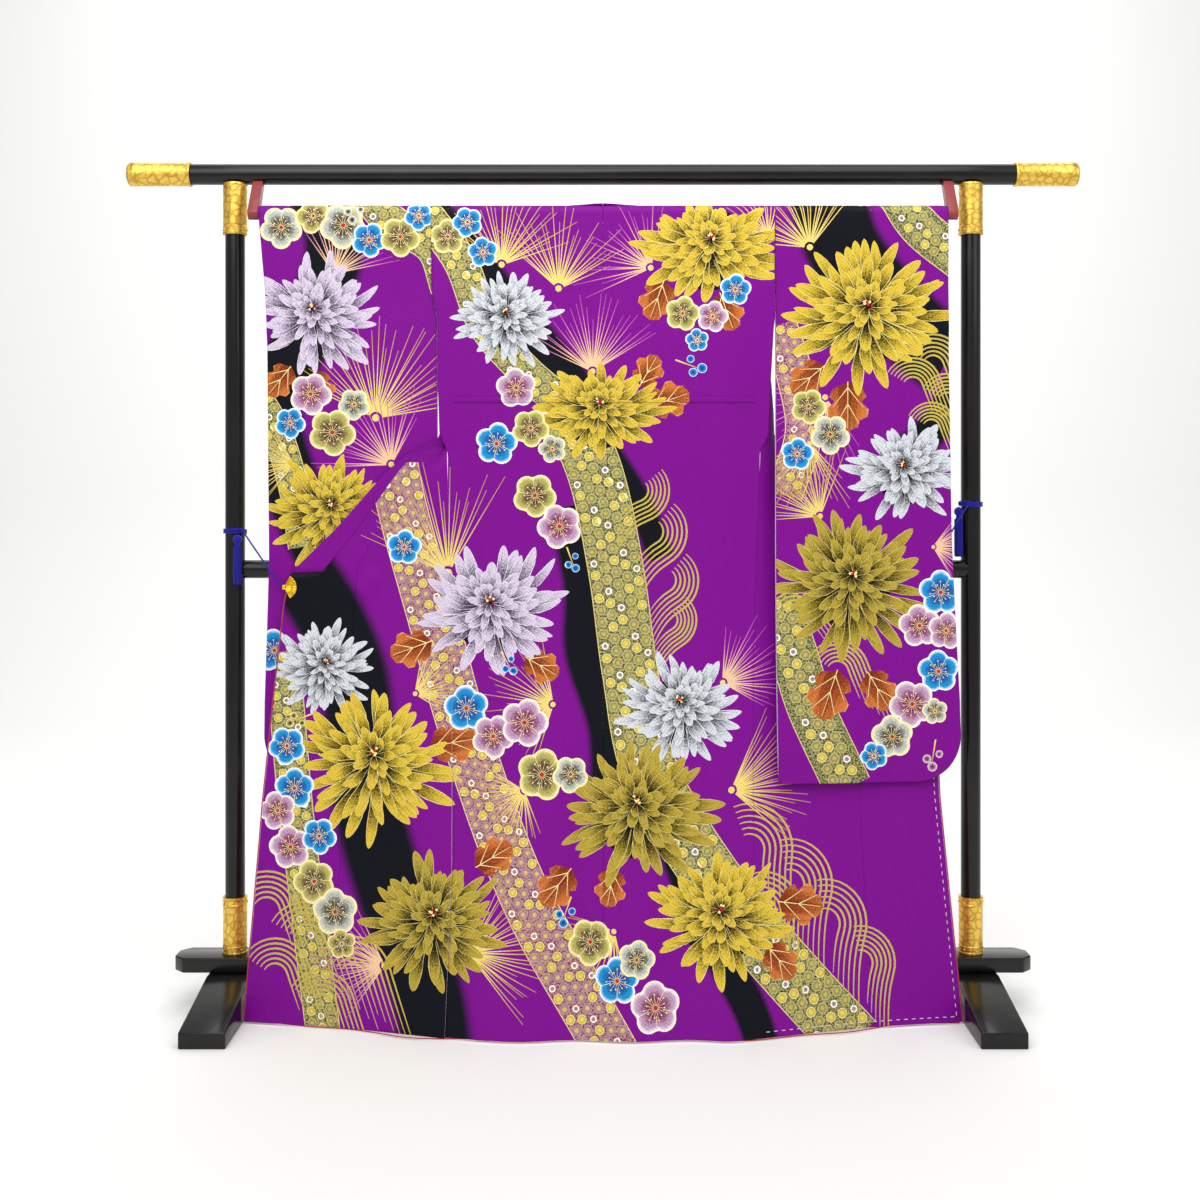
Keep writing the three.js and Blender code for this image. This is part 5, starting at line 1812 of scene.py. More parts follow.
@dataclass(frozen=True)
class NeckSize:
    """How the collar's band lies behind the neck."""

    band_foot: float = 1497.0
    rise: float = 5.0
    rise_half: float = 33.0
    lift: float = 0.16


@dataclass
class Furisode:
    """The garment: two backs, two fronts, two okumi, the collar's two runs and four sleeve walls."""

    silk: Material
    pale: Material
    red: Material
    layout: FurisodeLayout = field(default_factory=FurisodeLayout)
    fronts: dict = field(default_factory=dict)

    def build(self) -> None:
        body = self.layout.body()
        for side in Side:
            self.fronts[side] = FrontSurface(side)
            back = BackSurface(side)
            self.width(f"back_{side.value}", back, back.outline(), body, "hanging_pole")
            tuck = TuckSurface(side)
            self.width(
                f"tuck_{side.value}", tuck, tuck.outline(), body, f"back_{side.value}", thickness=1.4,
                spacing=3.6
            )
            front = self.fronts[side]
            fine = (1040.0, 1260.0)
            self.width(
                f"front_{side.value}", front, front.outline(False), body, "hanging_pole", fine_rows=fine
            )
            self.width(
                f"okumi_{side.value}", front, front.outline(True), body, "hanging_pole", fine_rows=fine
            )
            for facing, name in ((-1, "sleeve_back"), (1, "sleeve_front")):
                wall = SleeveSurface(side, facing)
                if facing > 0:
                    design = self.layout.sleeve_behind(side)
                else:
                    design = self.layout.left_sleeve() if side is Side.LEFT else self.layout.right_sleeve()
                self.width(
                    f"{name}_{side.value}", wall, wall.outline(), design, "hanging_pole", red_below=0.0
                )
            self.collar(side)
            self.edging(side)
        self.hem()

    def width(
        self, name: str, surface: Surface, outline: Array, design: Optional[PrintDesign], rests_on: str,
        **more
    ) -> None:
        """Make one width in place of its CAD node."""
        obj = ClothWidth(
            f"{name}_silk", surface, outline, design, **more
        ).build((self.silk, self.pale, self.red))
        hide_with(obj, [name])
        flat, area = cut_size(surface, outline)
        log.info("%s: %d faces", name, len(obj.data.polygons))

    def collar(self, side: Side) -> None:
        """Make one run of the collar: it lies down behind the neck and follows the front to its end."""
        front = self.fronts[side]
        neck = NeckSize()
        half, foot, top = neck.rise_half, neck.band_foot, POLE.top
        neck_edge = float(FRONT_COURSE[side].at("edge_x", POLE.z))
        shares = np.array([0, 0.04, 0.08, 0.12, 0.16, 0.2, 0.24, 0.31, 0.45, 0.6, 0.8, 1.0])

        def band_row(from_x: float, from_h: float, to_x: float, to_h: float, rise: float) -> Array:
            z, layer = POLE.over(mix(from_h, to_h, shares), 1)
            lift = 1 + neck.lift * smooth(shares * 6)
            height = np.where(z > POLE.z, mix(POLE.z, z, lift), z)
            xs = side.sign * mix(from_x, to_x, shares)
            return cloth_point(xs, height + rise * (1 - shares) ** 6, layer * lift)

        rows = [
            band_row(GAP / 2, top, GAP / 2, foot, neck.rise),
            band_row(half * 0.5, top, half * 0.5, foot, neck.rise * 0.9),
            band_row(half, top, half, foot, neck.rise * 0.6),
            band_row(neck_edge + 12, top, neck_edge - 4, foot, 0.0),
        ]
        over = np.linspace(top, POLE.z, 5)
        down = np.concatenate(
            [np.arange(1535, 1270, -14.0), np.arange(1262, 1040, -7.0), np.arange(1030, 868, -15.0)]
        )
        for k, h in enumerate(np.concatenate([over, down, [COLLAR_END]])):
            start = float(WIDTH_SHARES.at("collar", h)) * front.WIDTH + SEAM_SHOWN
            us = mix(start, front.WIDTH, shares)
            row = front.mid(us, np.full_like(us, h))
            if row[-1, 2] > foot:
                row = band_row(abs(row[0, 0]), float(h), neck_edge + k * 0.7, foot - k * 0.7, 0.0)
            rows.append(row)
        grid = np.array(rows)
        obj = grid_shell(f"collar_{side.value}_silk", grid, WALL, (self.silk, self.pale))
        hide_with(obj, [f"collar_{side.value}"])
        log.info("collar_%s: %d faces", side.value, len(obj.data.polygons))

    def edging(self, side: Side) -> None:
        """Make the red roll along a front's free edge, below the collar."""
        front = self.fronts[side]
        heights = np.append(np.arange(HEM_Z, 835, 14.0), 835.0)
        line = front.read(np.full_like(heights, front.WIDTH), heights)
        line[:, 0] += side.sign * (1.2 + GAP)
        obj = new_piece(f"edging_{side.value}_roll", *tube(line, 1.2, 8), [self.red])
        hide_with(obj, [f"edging_{side.value}"])
        log.info("edging_%s", side.value)

    def hem(self) -> None:
        """Make the red roll under the whole hem."""
        xs = np.linspace(-674, 674, 150)
        line = cloth_point(xs, np.full_like(xs, HEM_Z - GAP - 1.2), np.zeros_like(xs))
        obj = new_piece("edging_hem_roll", *tube(line, 1.2, 8), [self.red])
        hide_with(obj, ["edging_hem"])
        log.info("edging_hem")


def grid_shell(name: str, rows: Array, thickness: float, materials: Sequence[Material]) -> Object:
    """A closed shell round a grid of points, with the printed silk's attributes in its ground colour.

    Args:
        name: The piece's name.
        rows: The grid, as rows of columns of X, Y and Z.
        thickness: The shell's thickness.
        materials: The outside's finish and the inside's.

    Returns:
        The object.
    """
    normal = np.cross(np.gradient(rows, axis=1), -np.gradient(rows, axis=0))
    normal /= np.maximum(np.linalg.norm(normal, axis=2, keepdims=True), TINY)
    high, wide = rows.shape[:2]
    outer, inner = (rows + sign * normal * thickness / 2 for sign in (1, -1))
    shell = shell_of(outer.reshape(-1, 3), inner.reshape(-1, 3), high, wide)
    obj = new_piece(name, *shell, materials)
    mesh = obj.data
    corner_of = np.zeros(len(mesh.loops), int)
    mesh.loops.foreach_get("vertex_index", corner_of)
    steps = np.stack(np.meshgrid(np.arange(wide) * 7.0, np.arange(high) * 11.0), axis=-1).reshape(-1, 2)
    places = np.concatenate([steps, steps])[corner_of]
    write_uv(mesh, "cloth", places * MM)
    write_uv(mesh, "figure", np.zeros_like(places))
    for layer in DYE_LAYERS:
        write_colour(mesh, layer, np.tile(linear(GROUND.near, 0.0), (len(places), 1)))
    return obj


def write_uv(mesh: Mesh, name: str, places: Array) -> None:
    """Add a UV map with a place for each corner."""
    layer = mesh.uv_layers.new(name=name)
    layer.data.foreach_set("uv", places.astype(np.float32).ravel())


def write_colour(mesh: Mesh, name: str, values: Array) -> None:
    """Add a colour attribute with four values for each corner."""
    layer = mesh.color_attributes.new(name, "FLOAT_COLOR", "CORNER")
    layer.data.foreach_set("color", values.astype(np.float32).ravel())


# The stand
@dataclass(frozen=True)
class KimonoStand:
    """The two-post stand: crossbar, posts, lower bar, feet, their gilt fittings, and the hanging pole."""

    black: Material
    gilt: Material
    red: Material
    bar_radius: float = 20.5
    bar_half: float = 932.0
    bar_z: float = 1633.0
    cap_length: float = 120.0
    cap_wall: float = 2.2
    post_x: float = 726.0
    post_radius: float = 19.2
    post_low: float = 97.3
    ferrule_wall: float = 4.0
    top_ferrule_from: float = 1513.0
    bottom_ferrule_to: float = 209.0
    low_bar_radius: float = 18.0
    low_bar_z: float = 854.0
    plate_top: float = 97.0
    plate_thickness: float = 29.0
    plate_half: tuple[float, float] = (114.0, 37.5)
    plate_chamfer: float = 20.0
    beam_half_width: float = 43.0
    beam_half: float = 260.0
    beam_flat: float = 52.0
    beam_end: float = 30.0
    seat_clear: float = 0.3

    def build(self) -> None:
        """Make every piece of the stand."""
        self.crossbar()
        for side in Side:
            self.cap(side)
            self.post(side)
            self.foot(side)
            self.arm(side)
            log.info("stand, %s side", side.value)
        self.pole()

    def piece(self, name: str, shape: Shape, finish: Material, node: str) -> None:
        """Put a shape in the scene in place of its CAD node."""
        obj = new_piece(name, shape[0], shape[1], [finish])
        obj.data.set_sharp_from_angle(angle=math.radians(32))
        hide_with(obj, [node])

    def crossbar(self) -> None:
        """The round top bar and the lower bar between the posts."""
        bar = lathe(eased(self.bar_radius, -self.bar_half, self.bar_half, 1.2))
        self.piece(
            "crossbar_lacquer", (along_x(bar[0]), bar[1]), self.black, "crossbar"
        )
        half = self.post_x - math.sqrt(self.post_radius**2 - self.low_bar_radius**2 * 0.2) + 0.2
        low = lathe(eased(self.low_bar_radius, -half, half, 0.6))
        placed = along_x(low[0]) + (0, 0, self.low_bar_z)
        saddle = np.sqrt(np.maximum(self.post_radius**2 - placed[:, 1] ** 2, 1.0)) + self.seat_clear
        reach = self.post_x - saddle
        at_end = np.abs(placed[:, 0]) > half - 1.0
        placed[at_end, 0] = np.sign(placed[at_end, 0]) * reach[at_end]
        self.piece("lower_bar_lacquer", (placed, low[1]), self.black, "lower_bar")
        bar_obj = bpy.data.objects["crossbar_lacquer"]
        bar_obj.data.transform(lift(0, 0, self.bar_z))

    def cap(self, side: Side) -> None:
        """The gilt cap on one end of the crossbar: a sleeve with a rolled mouth and a domed end."""
        inner = self.bar_radius + self.seat_clear
        outer = inner + self.cap_wall
        mouth = self.bar_half - self.cap_length
        tip = self.bar_half + self.seat_clear + self.cap_wall + 1.8
        stop = self.bar_half + self.seat_clear
        profile = [
            (0, stop), (inner, stop), (inner, mouth), (outer + 0.6, mouth), (outer + 1.2, mouth + 1),
            (outer + 1.3, mouth + 3), (outer + 1.1, mouth + 5), (outer, mouth + 6), (outer, tip - 16),
            (outer + 0.6, tip - 15), (outer + 0.6, tip - 12.5), (outer, tip - 11.5), (outer, tip - 6)
        ]
        for k in range(1, 7):
            turn = k / 6 * math.pi / 2
            profile.append((outer - 6 + 6 * math.cos(turn), tip - 6 + 6 * math.sin(turn)))
        profile.append((0, tip))
        points, faces = lathe(profile)
        placed = along_x(points, side.sign) + (0, 0, self.bar_z)
        name = f"crossbar_cap_{side.value}"
        self.piece(f"{name}_gilt", (placed, faces), self.gilt, name)

    def post(self, side: Side) -> None:
        """A post with its two gilt ferrules."""
        x = side.sign * self.post_x
        points, faces = lathe(eased(self.post_radius, self.post_low, self.bar_z - 25.1, 0.8))
        name = f"post_{side.value}"
        self.piece(f"{name}_lacquer", (points + (x, 0, 0), faces), self.black, name)
        inner, outer = self.post_radius + self.seat_clear, self.post_radius + self.ferrule_wall
        for node, low, high in (
            (f"top_ferrule_{side.value}", self.top_ferrule_from, self.bar_z - 18.0),
            (f"bottom_ferrule_{side.value}", self.post_low, self.bottom_ferrule_to),
        ):
            beads = [(0.5, 0), (1, 1), (1, 4), (0, 5), (0, 13), (0.7, 14), (0.7, 16), (0, 17)]
            rising = [(outer + out, low + up) for out, up in beads]
            rest = [(outer + out, high - up) for out, up in reversed(beads)]
            profile = [(inner, low), *rising, *rest, (inner, high), (inner, low)]
            points, faces = lathe(profile)
            self.piece(f"{node}_gilt", (points + (x, 0, 0), faces), self.gilt, node)

    def foot(self, side: Side) -> None:
        """A foot: the beam, which narrows to its ends, and the eight-sided plate on it."""
        x = side.sign * self.post_x
        ends = (
            (self.beam_half, 0), (self.beam_half, self.beam_end), (self.beam_flat, self.plate_top - 29.3)
        )
        outline = [(y, z) for y, z in ends] + [(-y, z) for y, z in reversed(ends)]
        points, faces = rounded_prism(outline, -self.beam_half_width, self.beam_half_width, 2.4)
        placed = np.stack([points[:, 2] + x, points[:, 0], points[:, 1]], axis=1)
        name = f"foot_beam_{side.value}"
        self.piece(f"{name}_lacquer", (placed, faces), self.black, name)
        (a, b), c = self.plate_half, self.plate_chamfer
        corners = [
            (a, b - c), (a - c, b), (c - a, b), (-a, b - c), (-a, c - b), (c - a, -b), (a - c, -b),
            (a, c - b)
        ]
        points, faces = rounded_prism(corners, self.plate_top - self.plate_thickness, self.plate_top, 3.0)
        name = f"foot_plate_{side.value}"
        self.piece(f"{name}_lacquer", (points + (x, 0, 0), faces), self.black, name)

    def arm(self, side: Side) -> None:
        """The slanted red arm that carries one end of the pole from the crossbar."""
        seat, centre = self.bar_radius + self.seat_clear, (0.0, self.bar_z)
        course = []
        for turn in np.linspace(-1.45, -2.35, 12):
            course.append((centre[0] + seat * math.cos(turn), centre[1] + seat * math.sin(turn)))
        for turn in np.linspace(2.5, 2 * math.pi - 0.75, 30):
            course.append((POLE.y + POLE.radius * math.cos(turn), POLE.z + POLE.radius * math.sin(turn)))
        x = side.sign * (POLE.half_length + POLE.arm_width / 2 + self.seat_clear)
        half = POLE.arm_width / 2
        points, faces = rounded_prism(ccw(np.array(course)).tolist(), -half, half, 1.2)
        placed = np.stack([points[:, 2] + x, points[:, 0], points[:, 1]], axis=1)
        name = f"pole_arm_{side.value}"
        self.piece(f"{name}_lacquer", (placed, faces), self.red, name)

    def pole(self) -> None:
        """The red pole under the garment's shoulders."""
        points, faces = lathe(eased(POLE.radius, -POLE.half_length, POLE.half_length, 0.8))
        placed = along_x(points) + (0, POLE.y, POLE.z)
        self.piece("hanging_pole_lacquer", (placed, faces), self.red, "hanging_pole")
        log.info("hanging_pole")


def lift(x: float, y: float, z: float) -> Matrix:
    """A move in millimetres, for a mesh in metres."""
    return Matrix.Translation((x * MM, y * MM, z * MM))


def eased(radius: float, low: float, high: float, ease: float) -> list[tuple[float, float]]:
    """A round bar's profile with its two edges eased."""
    return [
        (0, low), (radius - ease, low), (radius, low + ease), (radius, high - ease), (radius - ease, high),
        (0, high)
    ]


@dataclass(frozen=True)
class NailHeads:
    """Small domed nail heads round a fitting, set out by Geometry Nodes."""

    gilt: Material
    radius: float = 2.1

    def build(self, name: str, places: Sequence[tuple[float, float, float]]) -> None:
        """Set a head on each place.

        Args:
            name: The piece's name.
            places: Where the heads' middles lie, in millimetres.
        """
        tree, start, end = start_geometry(f"{name}_nodes", "Radius")
        ball = add_node(
            tree, "GeometryNodeMeshIcoSphere", {"Radius": start.outputs["Radius"], "Subdivisions": 2}
        ).outputs["Mesh"]
        on = add_node(
            tree, "GeometryNodeInstanceOnPoints", {"Points": start.outputs["Geometry"], "Instance": ball}
        )
        finish_geometry(tree, on.outputs["Instances"], end, self.gilt)
        seed = new_piece(f"{name}_places", np.array(places), [], [])
        made = bake_nodes(seed, tree, {"Radius": self.radius * MM}, name)
        hide_with(made, [])
        log.info("%s: %d heads", name, len(places))


def start_geometry(name: str, *sizes: str) -> tuple[NodeTree, Node, Node]:
    """Make a geometry tree that takes a mesh and some named sizes, and gives a mesh."""
    tree = bpy.data.node_groups.new(name, "GeometryNodeTree")
    tree.interface.new_socket("Geometry", in_out="INPUT", socket_type="NodeSocketGeometry")
    for size in sizes:
        tree.interface.new_socket(size, in_out="INPUT", socket_type="NodeSocketFloat")
    tree.interface.new_socket("Geometry", in_out="OUTPUT", socket_type="NodeSocketGeometry")
    return tree, add_node(tree, "NodeGroupInput"), add_node(tree, "NodeGroupOutput")


def finish_geometry(tree: NodeTree, made: NodeSocket, end: Node, finish: Material) -> None:
    """Close a geometry tree: instances made real, one finish set."""
    real = add_node(tree, "GeometryNodeRealizeInstances", {"Geometry": made})
    flat = add_node(tree, "GeometryNodeSetShadeSmooth", {"Geometry": real.outputs[0], "Shade Smooth": True})
    dressed = add_node(tree, "GeometryNodeSetMaterial", {"Geometry": flat.outputs[0], "Material": finish})
    tree.links.new(dressed.outputs[0], end.inputs["Geometry"])


def bake_nodes(seed: Object, tree: NodeTree, sizes: dict[str, float], name: str) -> Object:
    """Run a geometry tree on a seed mesh and keep its result as a plain mesh object.

    Args:
        seed: The object whose mesh the tree starts from. It is removed.
        tree: The geometry tree.
        sizes: The tree's named inputs.
        name: The new piece's name.

    Returns:
        The plain object.
    """
    nodes = seed.modifiers.new("nodes", "NODES")
    nodes.node_group = tree
    for item in tree.interface.items_tree:
        if item.in_out == "INPUT" and item.name in sizes:
            nodes[item.identifier] = sizes[item.name]
    seen = seed.evaluated_get(bpy.context.evaluated_depsgraph_get())
    mesh = bpy.data.meshes.new_from_object(seen)
    mesh.name = name
    obj = bpy.data.objects.new(name, mesh)
    bpy.context.scene.collection.objects.link(obj)
    bpy.data.objects.remove(seed)
    return obj


@dataclass(frozen=True)
class ClipSize:
    """The fan-shaped clip that holds a front's edge."""

    radius: float = 25.0
    plate: float = 2.0
    half_gape: float = 1.9
    spread: float = 62.0
    reach: float = 7.7
    ribs: int = 9
    bridge: tuple[float, float, float] = (6.0, 7.8, 9.0)
    heights: tuple[float, float] = (836.0, 896.0)


@dataclass(frozen=True)
class CordSize:
    """The cord wound on one post: its knot, its tassel and its way to the clip."""

    knot_z: float
    tassel_turn: float
    tie_turn: float
    way: tuple[float, float, float]


@dataclass
class CordsAndClips:
    """The blue cords on the posts, their tassels, and the fan clips that they hold."""

    cord: Material
    leaf: Material
    garment: Furisode
    stand: KimonoStand
    clip: ClipSize = ClipSize()
    radius: float = 1.6
    wraps: int = 3
    pitch: float = 3.2
    wrap_radius: float = 21.7
    knot_radius: float = 25.1
    knot_loop: float = 3.4
    knot_turns: float = 1.4
    knot_climb: float = 0.16
    knot_sunk: float = 0.6
    sizes: dict = field(
        default_factory=lambda: {
            Side.LEFT: CordSize(929.0, -1.19, -0.75, (-662.0, -62.0, 880.0)),
            Side.RIGHT: CordSize(983.0, -2.75, -1.9, (690.0, -36.0, 946.0)),
        }
    )

    def build(self) -> None:
        """Make both sides."""
        for side in Side:
            held = self.fan(side)
            self.wrap(side)
            self.way_to_clip(side, held)
            TasselSize().build(side, self)
            log.info("clip, cord and tassel, %s side", side.value)

    def fan(self, side: Side) -> Array:
        """A fan clip: two ribbed plates and the bridge between them. Returns where its cord is tied."""
        size = self.clip
        height = size.heights[1] if side is Side.RIGHT else size.heights[0]
        front = self.garment.fronts[side]
        at = front.read(np.array([front.WIDTH]), np.array([height]))[0]
        at = at + (side.sign * size.reach, 0, 0)
        half = math.radians(size.spread)
        plates = []
        for face in (-1, 1):
            plates.append(self.ribbed_plate(face, half))
        long, deep, tall = size.bridge
        corners = [
            (-long / 2, -deep / 2), (long / 2, -deep / 2), (long / 2, deep / 2), (-long / 2, deep / 2)
        ]
        plates.append(rounded_prism(corners, -tall / 2, tall / 2, 0.8))
        points, faces = joined(plates)
        points = points * (-side.sign, 1, 1)
        if side is Side.RIGHT:
            faces = [f[::-1] for f in faces]
        obj = new_piece(f"fan_clip_{side.value}_gold", points + at, faces, [self.leaf])
        hide_with(obj, [f"fan_clip_{side.value}"])
        return at

    def ribbed_plate(self, face: int, half: float) -> Shape:
        """One plate of the fan, pleated from its pivot to its rim."""
        size = self.clip
        steps, rows = size.ribs * 4, 6
        outer, inner = [], []
        for i in range(rows + 1):
            reach = mix(3.0, size.radius, i / rows)
            for k in range(steps + 1):
                turn = mix(-half, half, k / steps)
                ridge = 0.5 - 0.5 * math.cos(2 * math.pi * size.ribs * k / steps)
                notch = reach * (1 - 0.03 * (1 - ridge) * (i == rows))
                x, z = notch * math.cos(turn), notch * math.sin(turn)
                depth = size.half_gape + size.plate * (0.55 + 0.45 * ridge)
                outer.append((x, face * depth, z))
                inner.append((x, face * size.half_gape, z))
        wide, high = steps + 1, rows + 1
        return shell_of(np.array(outer), np.array(inner), high, wide)

    def wrap(self, side: Side) -> None:
        """Three turns of cord round the post, with a knot."""
        size = self.sizes[side]
        x = side.sign * self.stand.post_x
        turns = np.linspace(0, self.wraps * 2 * math.pi, self.wraps * 40)
        helix = np.stack(
            [
                x + self.wrap_radius * np.cos(turns + size.tie_turn),
                self.wrap_radius * np.sin(turns + size.tie_turn),
                size.knot_z - 4.8 + self.pitch * turns / (2 * math.pi),
            ],
            axis=1,
        )
        loops = [tube(helix, self.radius, 10)]
        for turn in (size.tie_turn, size.tassel_turn):
            centre = np.array(
                [x + self.knot_radius * math.cos(turn), self.knot_radius * math.sin(turn), size.knot_z]
            )
            around = np.linspace(0, 2 * math.pi * self.knot_turns, 26)
            out = np.array([math.cos(turn), math.sin(turn), 0.0])
            aside = np.array([-math.sin(turn), math.cos(turn), 0.0])
            up, loop = np.array([0, 0, 1]), self.knot_loop
            ring = [
                centre + aside * loop * math.cos(a) + up * loop * math.sin(a) + out * (
                    a * self.knot_climb - self.knot_sunk
                )
                for a in around
            ]
            loops.append(tube(np.array(ring), self.radius, 8))
        points, faces = joined(loops)
        obj = new_piece(f"cord_wrap_{side.value}_yarn", points, faces, [self.cord])
        hide_with(obj, [f"cord_wrap_{side.value}"])

    def way_to_clip(self, side: Side, held: Array) -> None:
        """The cord from the knot to the clip."""
        size = self.sizes[side]
        x = side.sign * self.stand.post_x
        tie = (
            x + self.knot_radius * math.cos(size.tie_turn), self.knot_radius * math.sin(size.tie_turn),
            size.knot_z + 1.6
        )
        end = held + (side.sign * 4.6, 0, 0)
        knots = np.array([tie, size.way, end])
        course = centripetal(knots, 14)
        obj = new_piece(f"clip_cord_{side.value}_yarn", *tube(course, self.radius, 10), [self.cord])
        hide_with(obj, [f"clip_cord_{side.value}"])


@dataclass(frozen=True)
class TasselSize:
    """A tassel: a head, a bound neck, and strands set out by Geometry Nodes."""

    head: float = 9.0
    neck: float = 6.2
    skirt: float = 8.8
    head_height: float = 26.0
    length: float = 100.0
    strands: int = 190
    strand: float = 0.62
    spread: float = 5.0
    out: float = 28.5

    def build(self, side: Side, cords: CordsAndClips) -> None:
        """Make the tassel on one side's knot."""
        size = cords.sizes[side]
        x = side.sign * cords.stand.post_x + self.out * math.cos(size.tassel_turn)
        y, z = self.out * math.sin(size.tassel_turn), size.knot_z - 5.1
        profile = [
            (0, -self.head_height), (self.neck, -self.head_height), (self.neck, -self.head_height + 3)
        ]
        profile += [(self.neck - 1.2, -self.head_height + 5), (self.neck - 1.2, -self.head_height + 8)]
        for k in range(9):
            turn = -1.0 + k / 8 * 2.5
            profile.append((self.head * math.cos(turn), -self.head - 1 + self.head * math.sin(turn)))
        profile.append((0, 0))
        head = lathe(profile, 32)
        head_obj = new_piece(f"tassel_{side.value}_head", head[0] + (x, y, z), head[1], [cords.cord])
        strands = self.strand_mesh(side, cords, (x, y, z - self.head_height + 1))
        hide_with(strands, [f"tassel_{side.value}"])
        hide_with(head_obj, [])

    def strand_mesh(self, side: Side, cords: CordsAndClips, root: tuple[float, float, float]) -> Object:
        """The hanging strands, each a thin curve that spreads and wanders a little."""
        tree, start, end = start_geometry(f"tassel_{side.value}_nodes", "Length", "Spread", "Strand")
        line = add_node(tree, "GeometryNodeCurvePrimitiveLine")
        down = add_node(tree, "ShaderNodeMath", {0: start.outputs["Length"], 1: -1.0}, operation="MULTIPLY")
        tip = add_node(tree, "ShaderNodeCombineXYZ", {"Z": down.outputs[0]})
        tree.links.new(tip.outputs[0], line.inputs["End"])
        fine = add_node(tree, "GeometryNodeResampleCurve", {"Curve": line.outputs[0], "Count": 9})
        on = add_node(
            tree, "GeometryNodeInstanceOnPoints",
            {"Points": start.outputs["Geometry"], "Instance": fine.outputs[0]}
        )
        length_share = add_node(
            tree, "FunctionNodeRandomValue", {2: 0.93, 3: 1.0, "Seed": 5 + side.sign}, data_type="FLOAT"
        )
        scale = add_node(tree, "ShaderNodeCombineXYZ", {"X": 1.0, "Y": 1.0, "Z": length_share.outputs[1]})
        tree.links.new(scale.outputs[0], on.inputs["Scale"])
        real = add_node(tree, "GeometryNodeRealizeInstances", {"Geometry": on.outputs[0]})
        share = add_node(tree, "GeometryNodeSplineParameter")
        place = add_node(tree, "GeometryNodeInputPosition")
        wander = add_node(
            tree, "ShaderNodeTexNoise", {"Vector": place.outputs[0], "Scale": 120.0, "Detail": 1.0}
        )
        centred = add_node(
            tree, "ShaderNodeVectorMath", { 0: wander.outputs["Color"], 1: (0.5, 0.5, 0.5) },
            operation="SUBTRACT"
        )
        reach = add_node(
            tree, "ShaderNodeMath", { 0: share.outputs["Factor"], 1: start.outputs["Spread"] },
            operation="MULTIPLY"
        )
        flat = add_node(
            tree, "ShaderNodeVectorMath", {0: centred.outputs[0], 1: (1.0, 1.0, 0.0)}, operation="MULTIPLY"
        )
        moved = add_node(
            tree, "ShaderNodeVectorMath", {0: flat.outputs[0], "Scale": reach.outputs[0]}, operation="SCALE"
        )
        bent = add_node(
            tree, "GeometryNodeSetPosition", {"Geometry": real.outputs[0], "Offset": moved.outputs[0]}
        )
        ring = add_node(
            tree, "GeometryNodeCurvePrimitiveCircle", {"Resolution": 4, "Radius": start.outputs["Strand"]}
        )
        yarn = add_node(
            tree, "GeometryNodeCurveToMesh",
            {"Curve": bent.outputs[0], "Profile Curve": ring.outputs[0], "Fill Caps": True}
        )
        finish_geometry(tree, yarn.outputs[0], end, cords.cord)
        golden = math.pi * (3 - math.sqrt(5))
        seeds = []
        for k in range(self.strands):
            reach, turn = (self.skirt - self.strand) * math.sqrt((k + 0.5) / self.strands), k * golden
            seeds.append((root[0] + reach * math.cos(turn), root[1] + reach * math.sin(turn), root[2]))
        seed = new_piece(f"tassel_{side.value}_roots", np.array(seeds), [], [])
        sizes = {
            "Length": (self.length - self.head_height) * MM, "Spread": self.spread * MM,
            "Strand": self.strand * MM
        }
        return bake_nodes(seed, tree, sizes, f"tassel_{side.value}_strands")


def shell_of(outer: Array, inner: Array, high: int, wide: int) -> Shape:
    """Close two grids of points, one over the other, to a solid, with its faces outwards."""
    count = high * wide
    faces = []

    def at(layer: int, i: int, j: int) -> int:
        return layer * count + i * wide + j

    for i in range(high - 1):
        for j in range(wide - 1):
            faces.append([at(0, i, j), at(0, i, j + 1), at(0, i + 1, j + 1), at(0, i + 1, j)])
            faces.append([at(1, i, j), at(1, i + 1, j), at(1, i + 1, j + 1), at(1, i, j + 1)])
        for j in (0, wide - 1):
            faces.append([at(0, i, j), at(1, i, j), at(1, i + 1, j), at(0, i + 1, j)])
    for i in (0, high - 1):
        for j in range(wide - 1):
            faces.append([at(0, i, j), at(1, i, j), at(1, i, j + 1), at(0, i, j + 1)])
    form = bmesh.new()
    verts = [form.verts.new(p) for p in np.concatenate([outer, inner])]
    for face in faces:
        form.faces.new([verts[k] for k in face])
    bmesh.ops.recalc_face_normals(form, faces=form.faces[:])
    form.verts.index_update()
    ordered = [[v.index for v in f.verts] for f in form.faces]
    points = np.array([v.co[:] for v in form.verts])
    form.free()
    return points, ordered


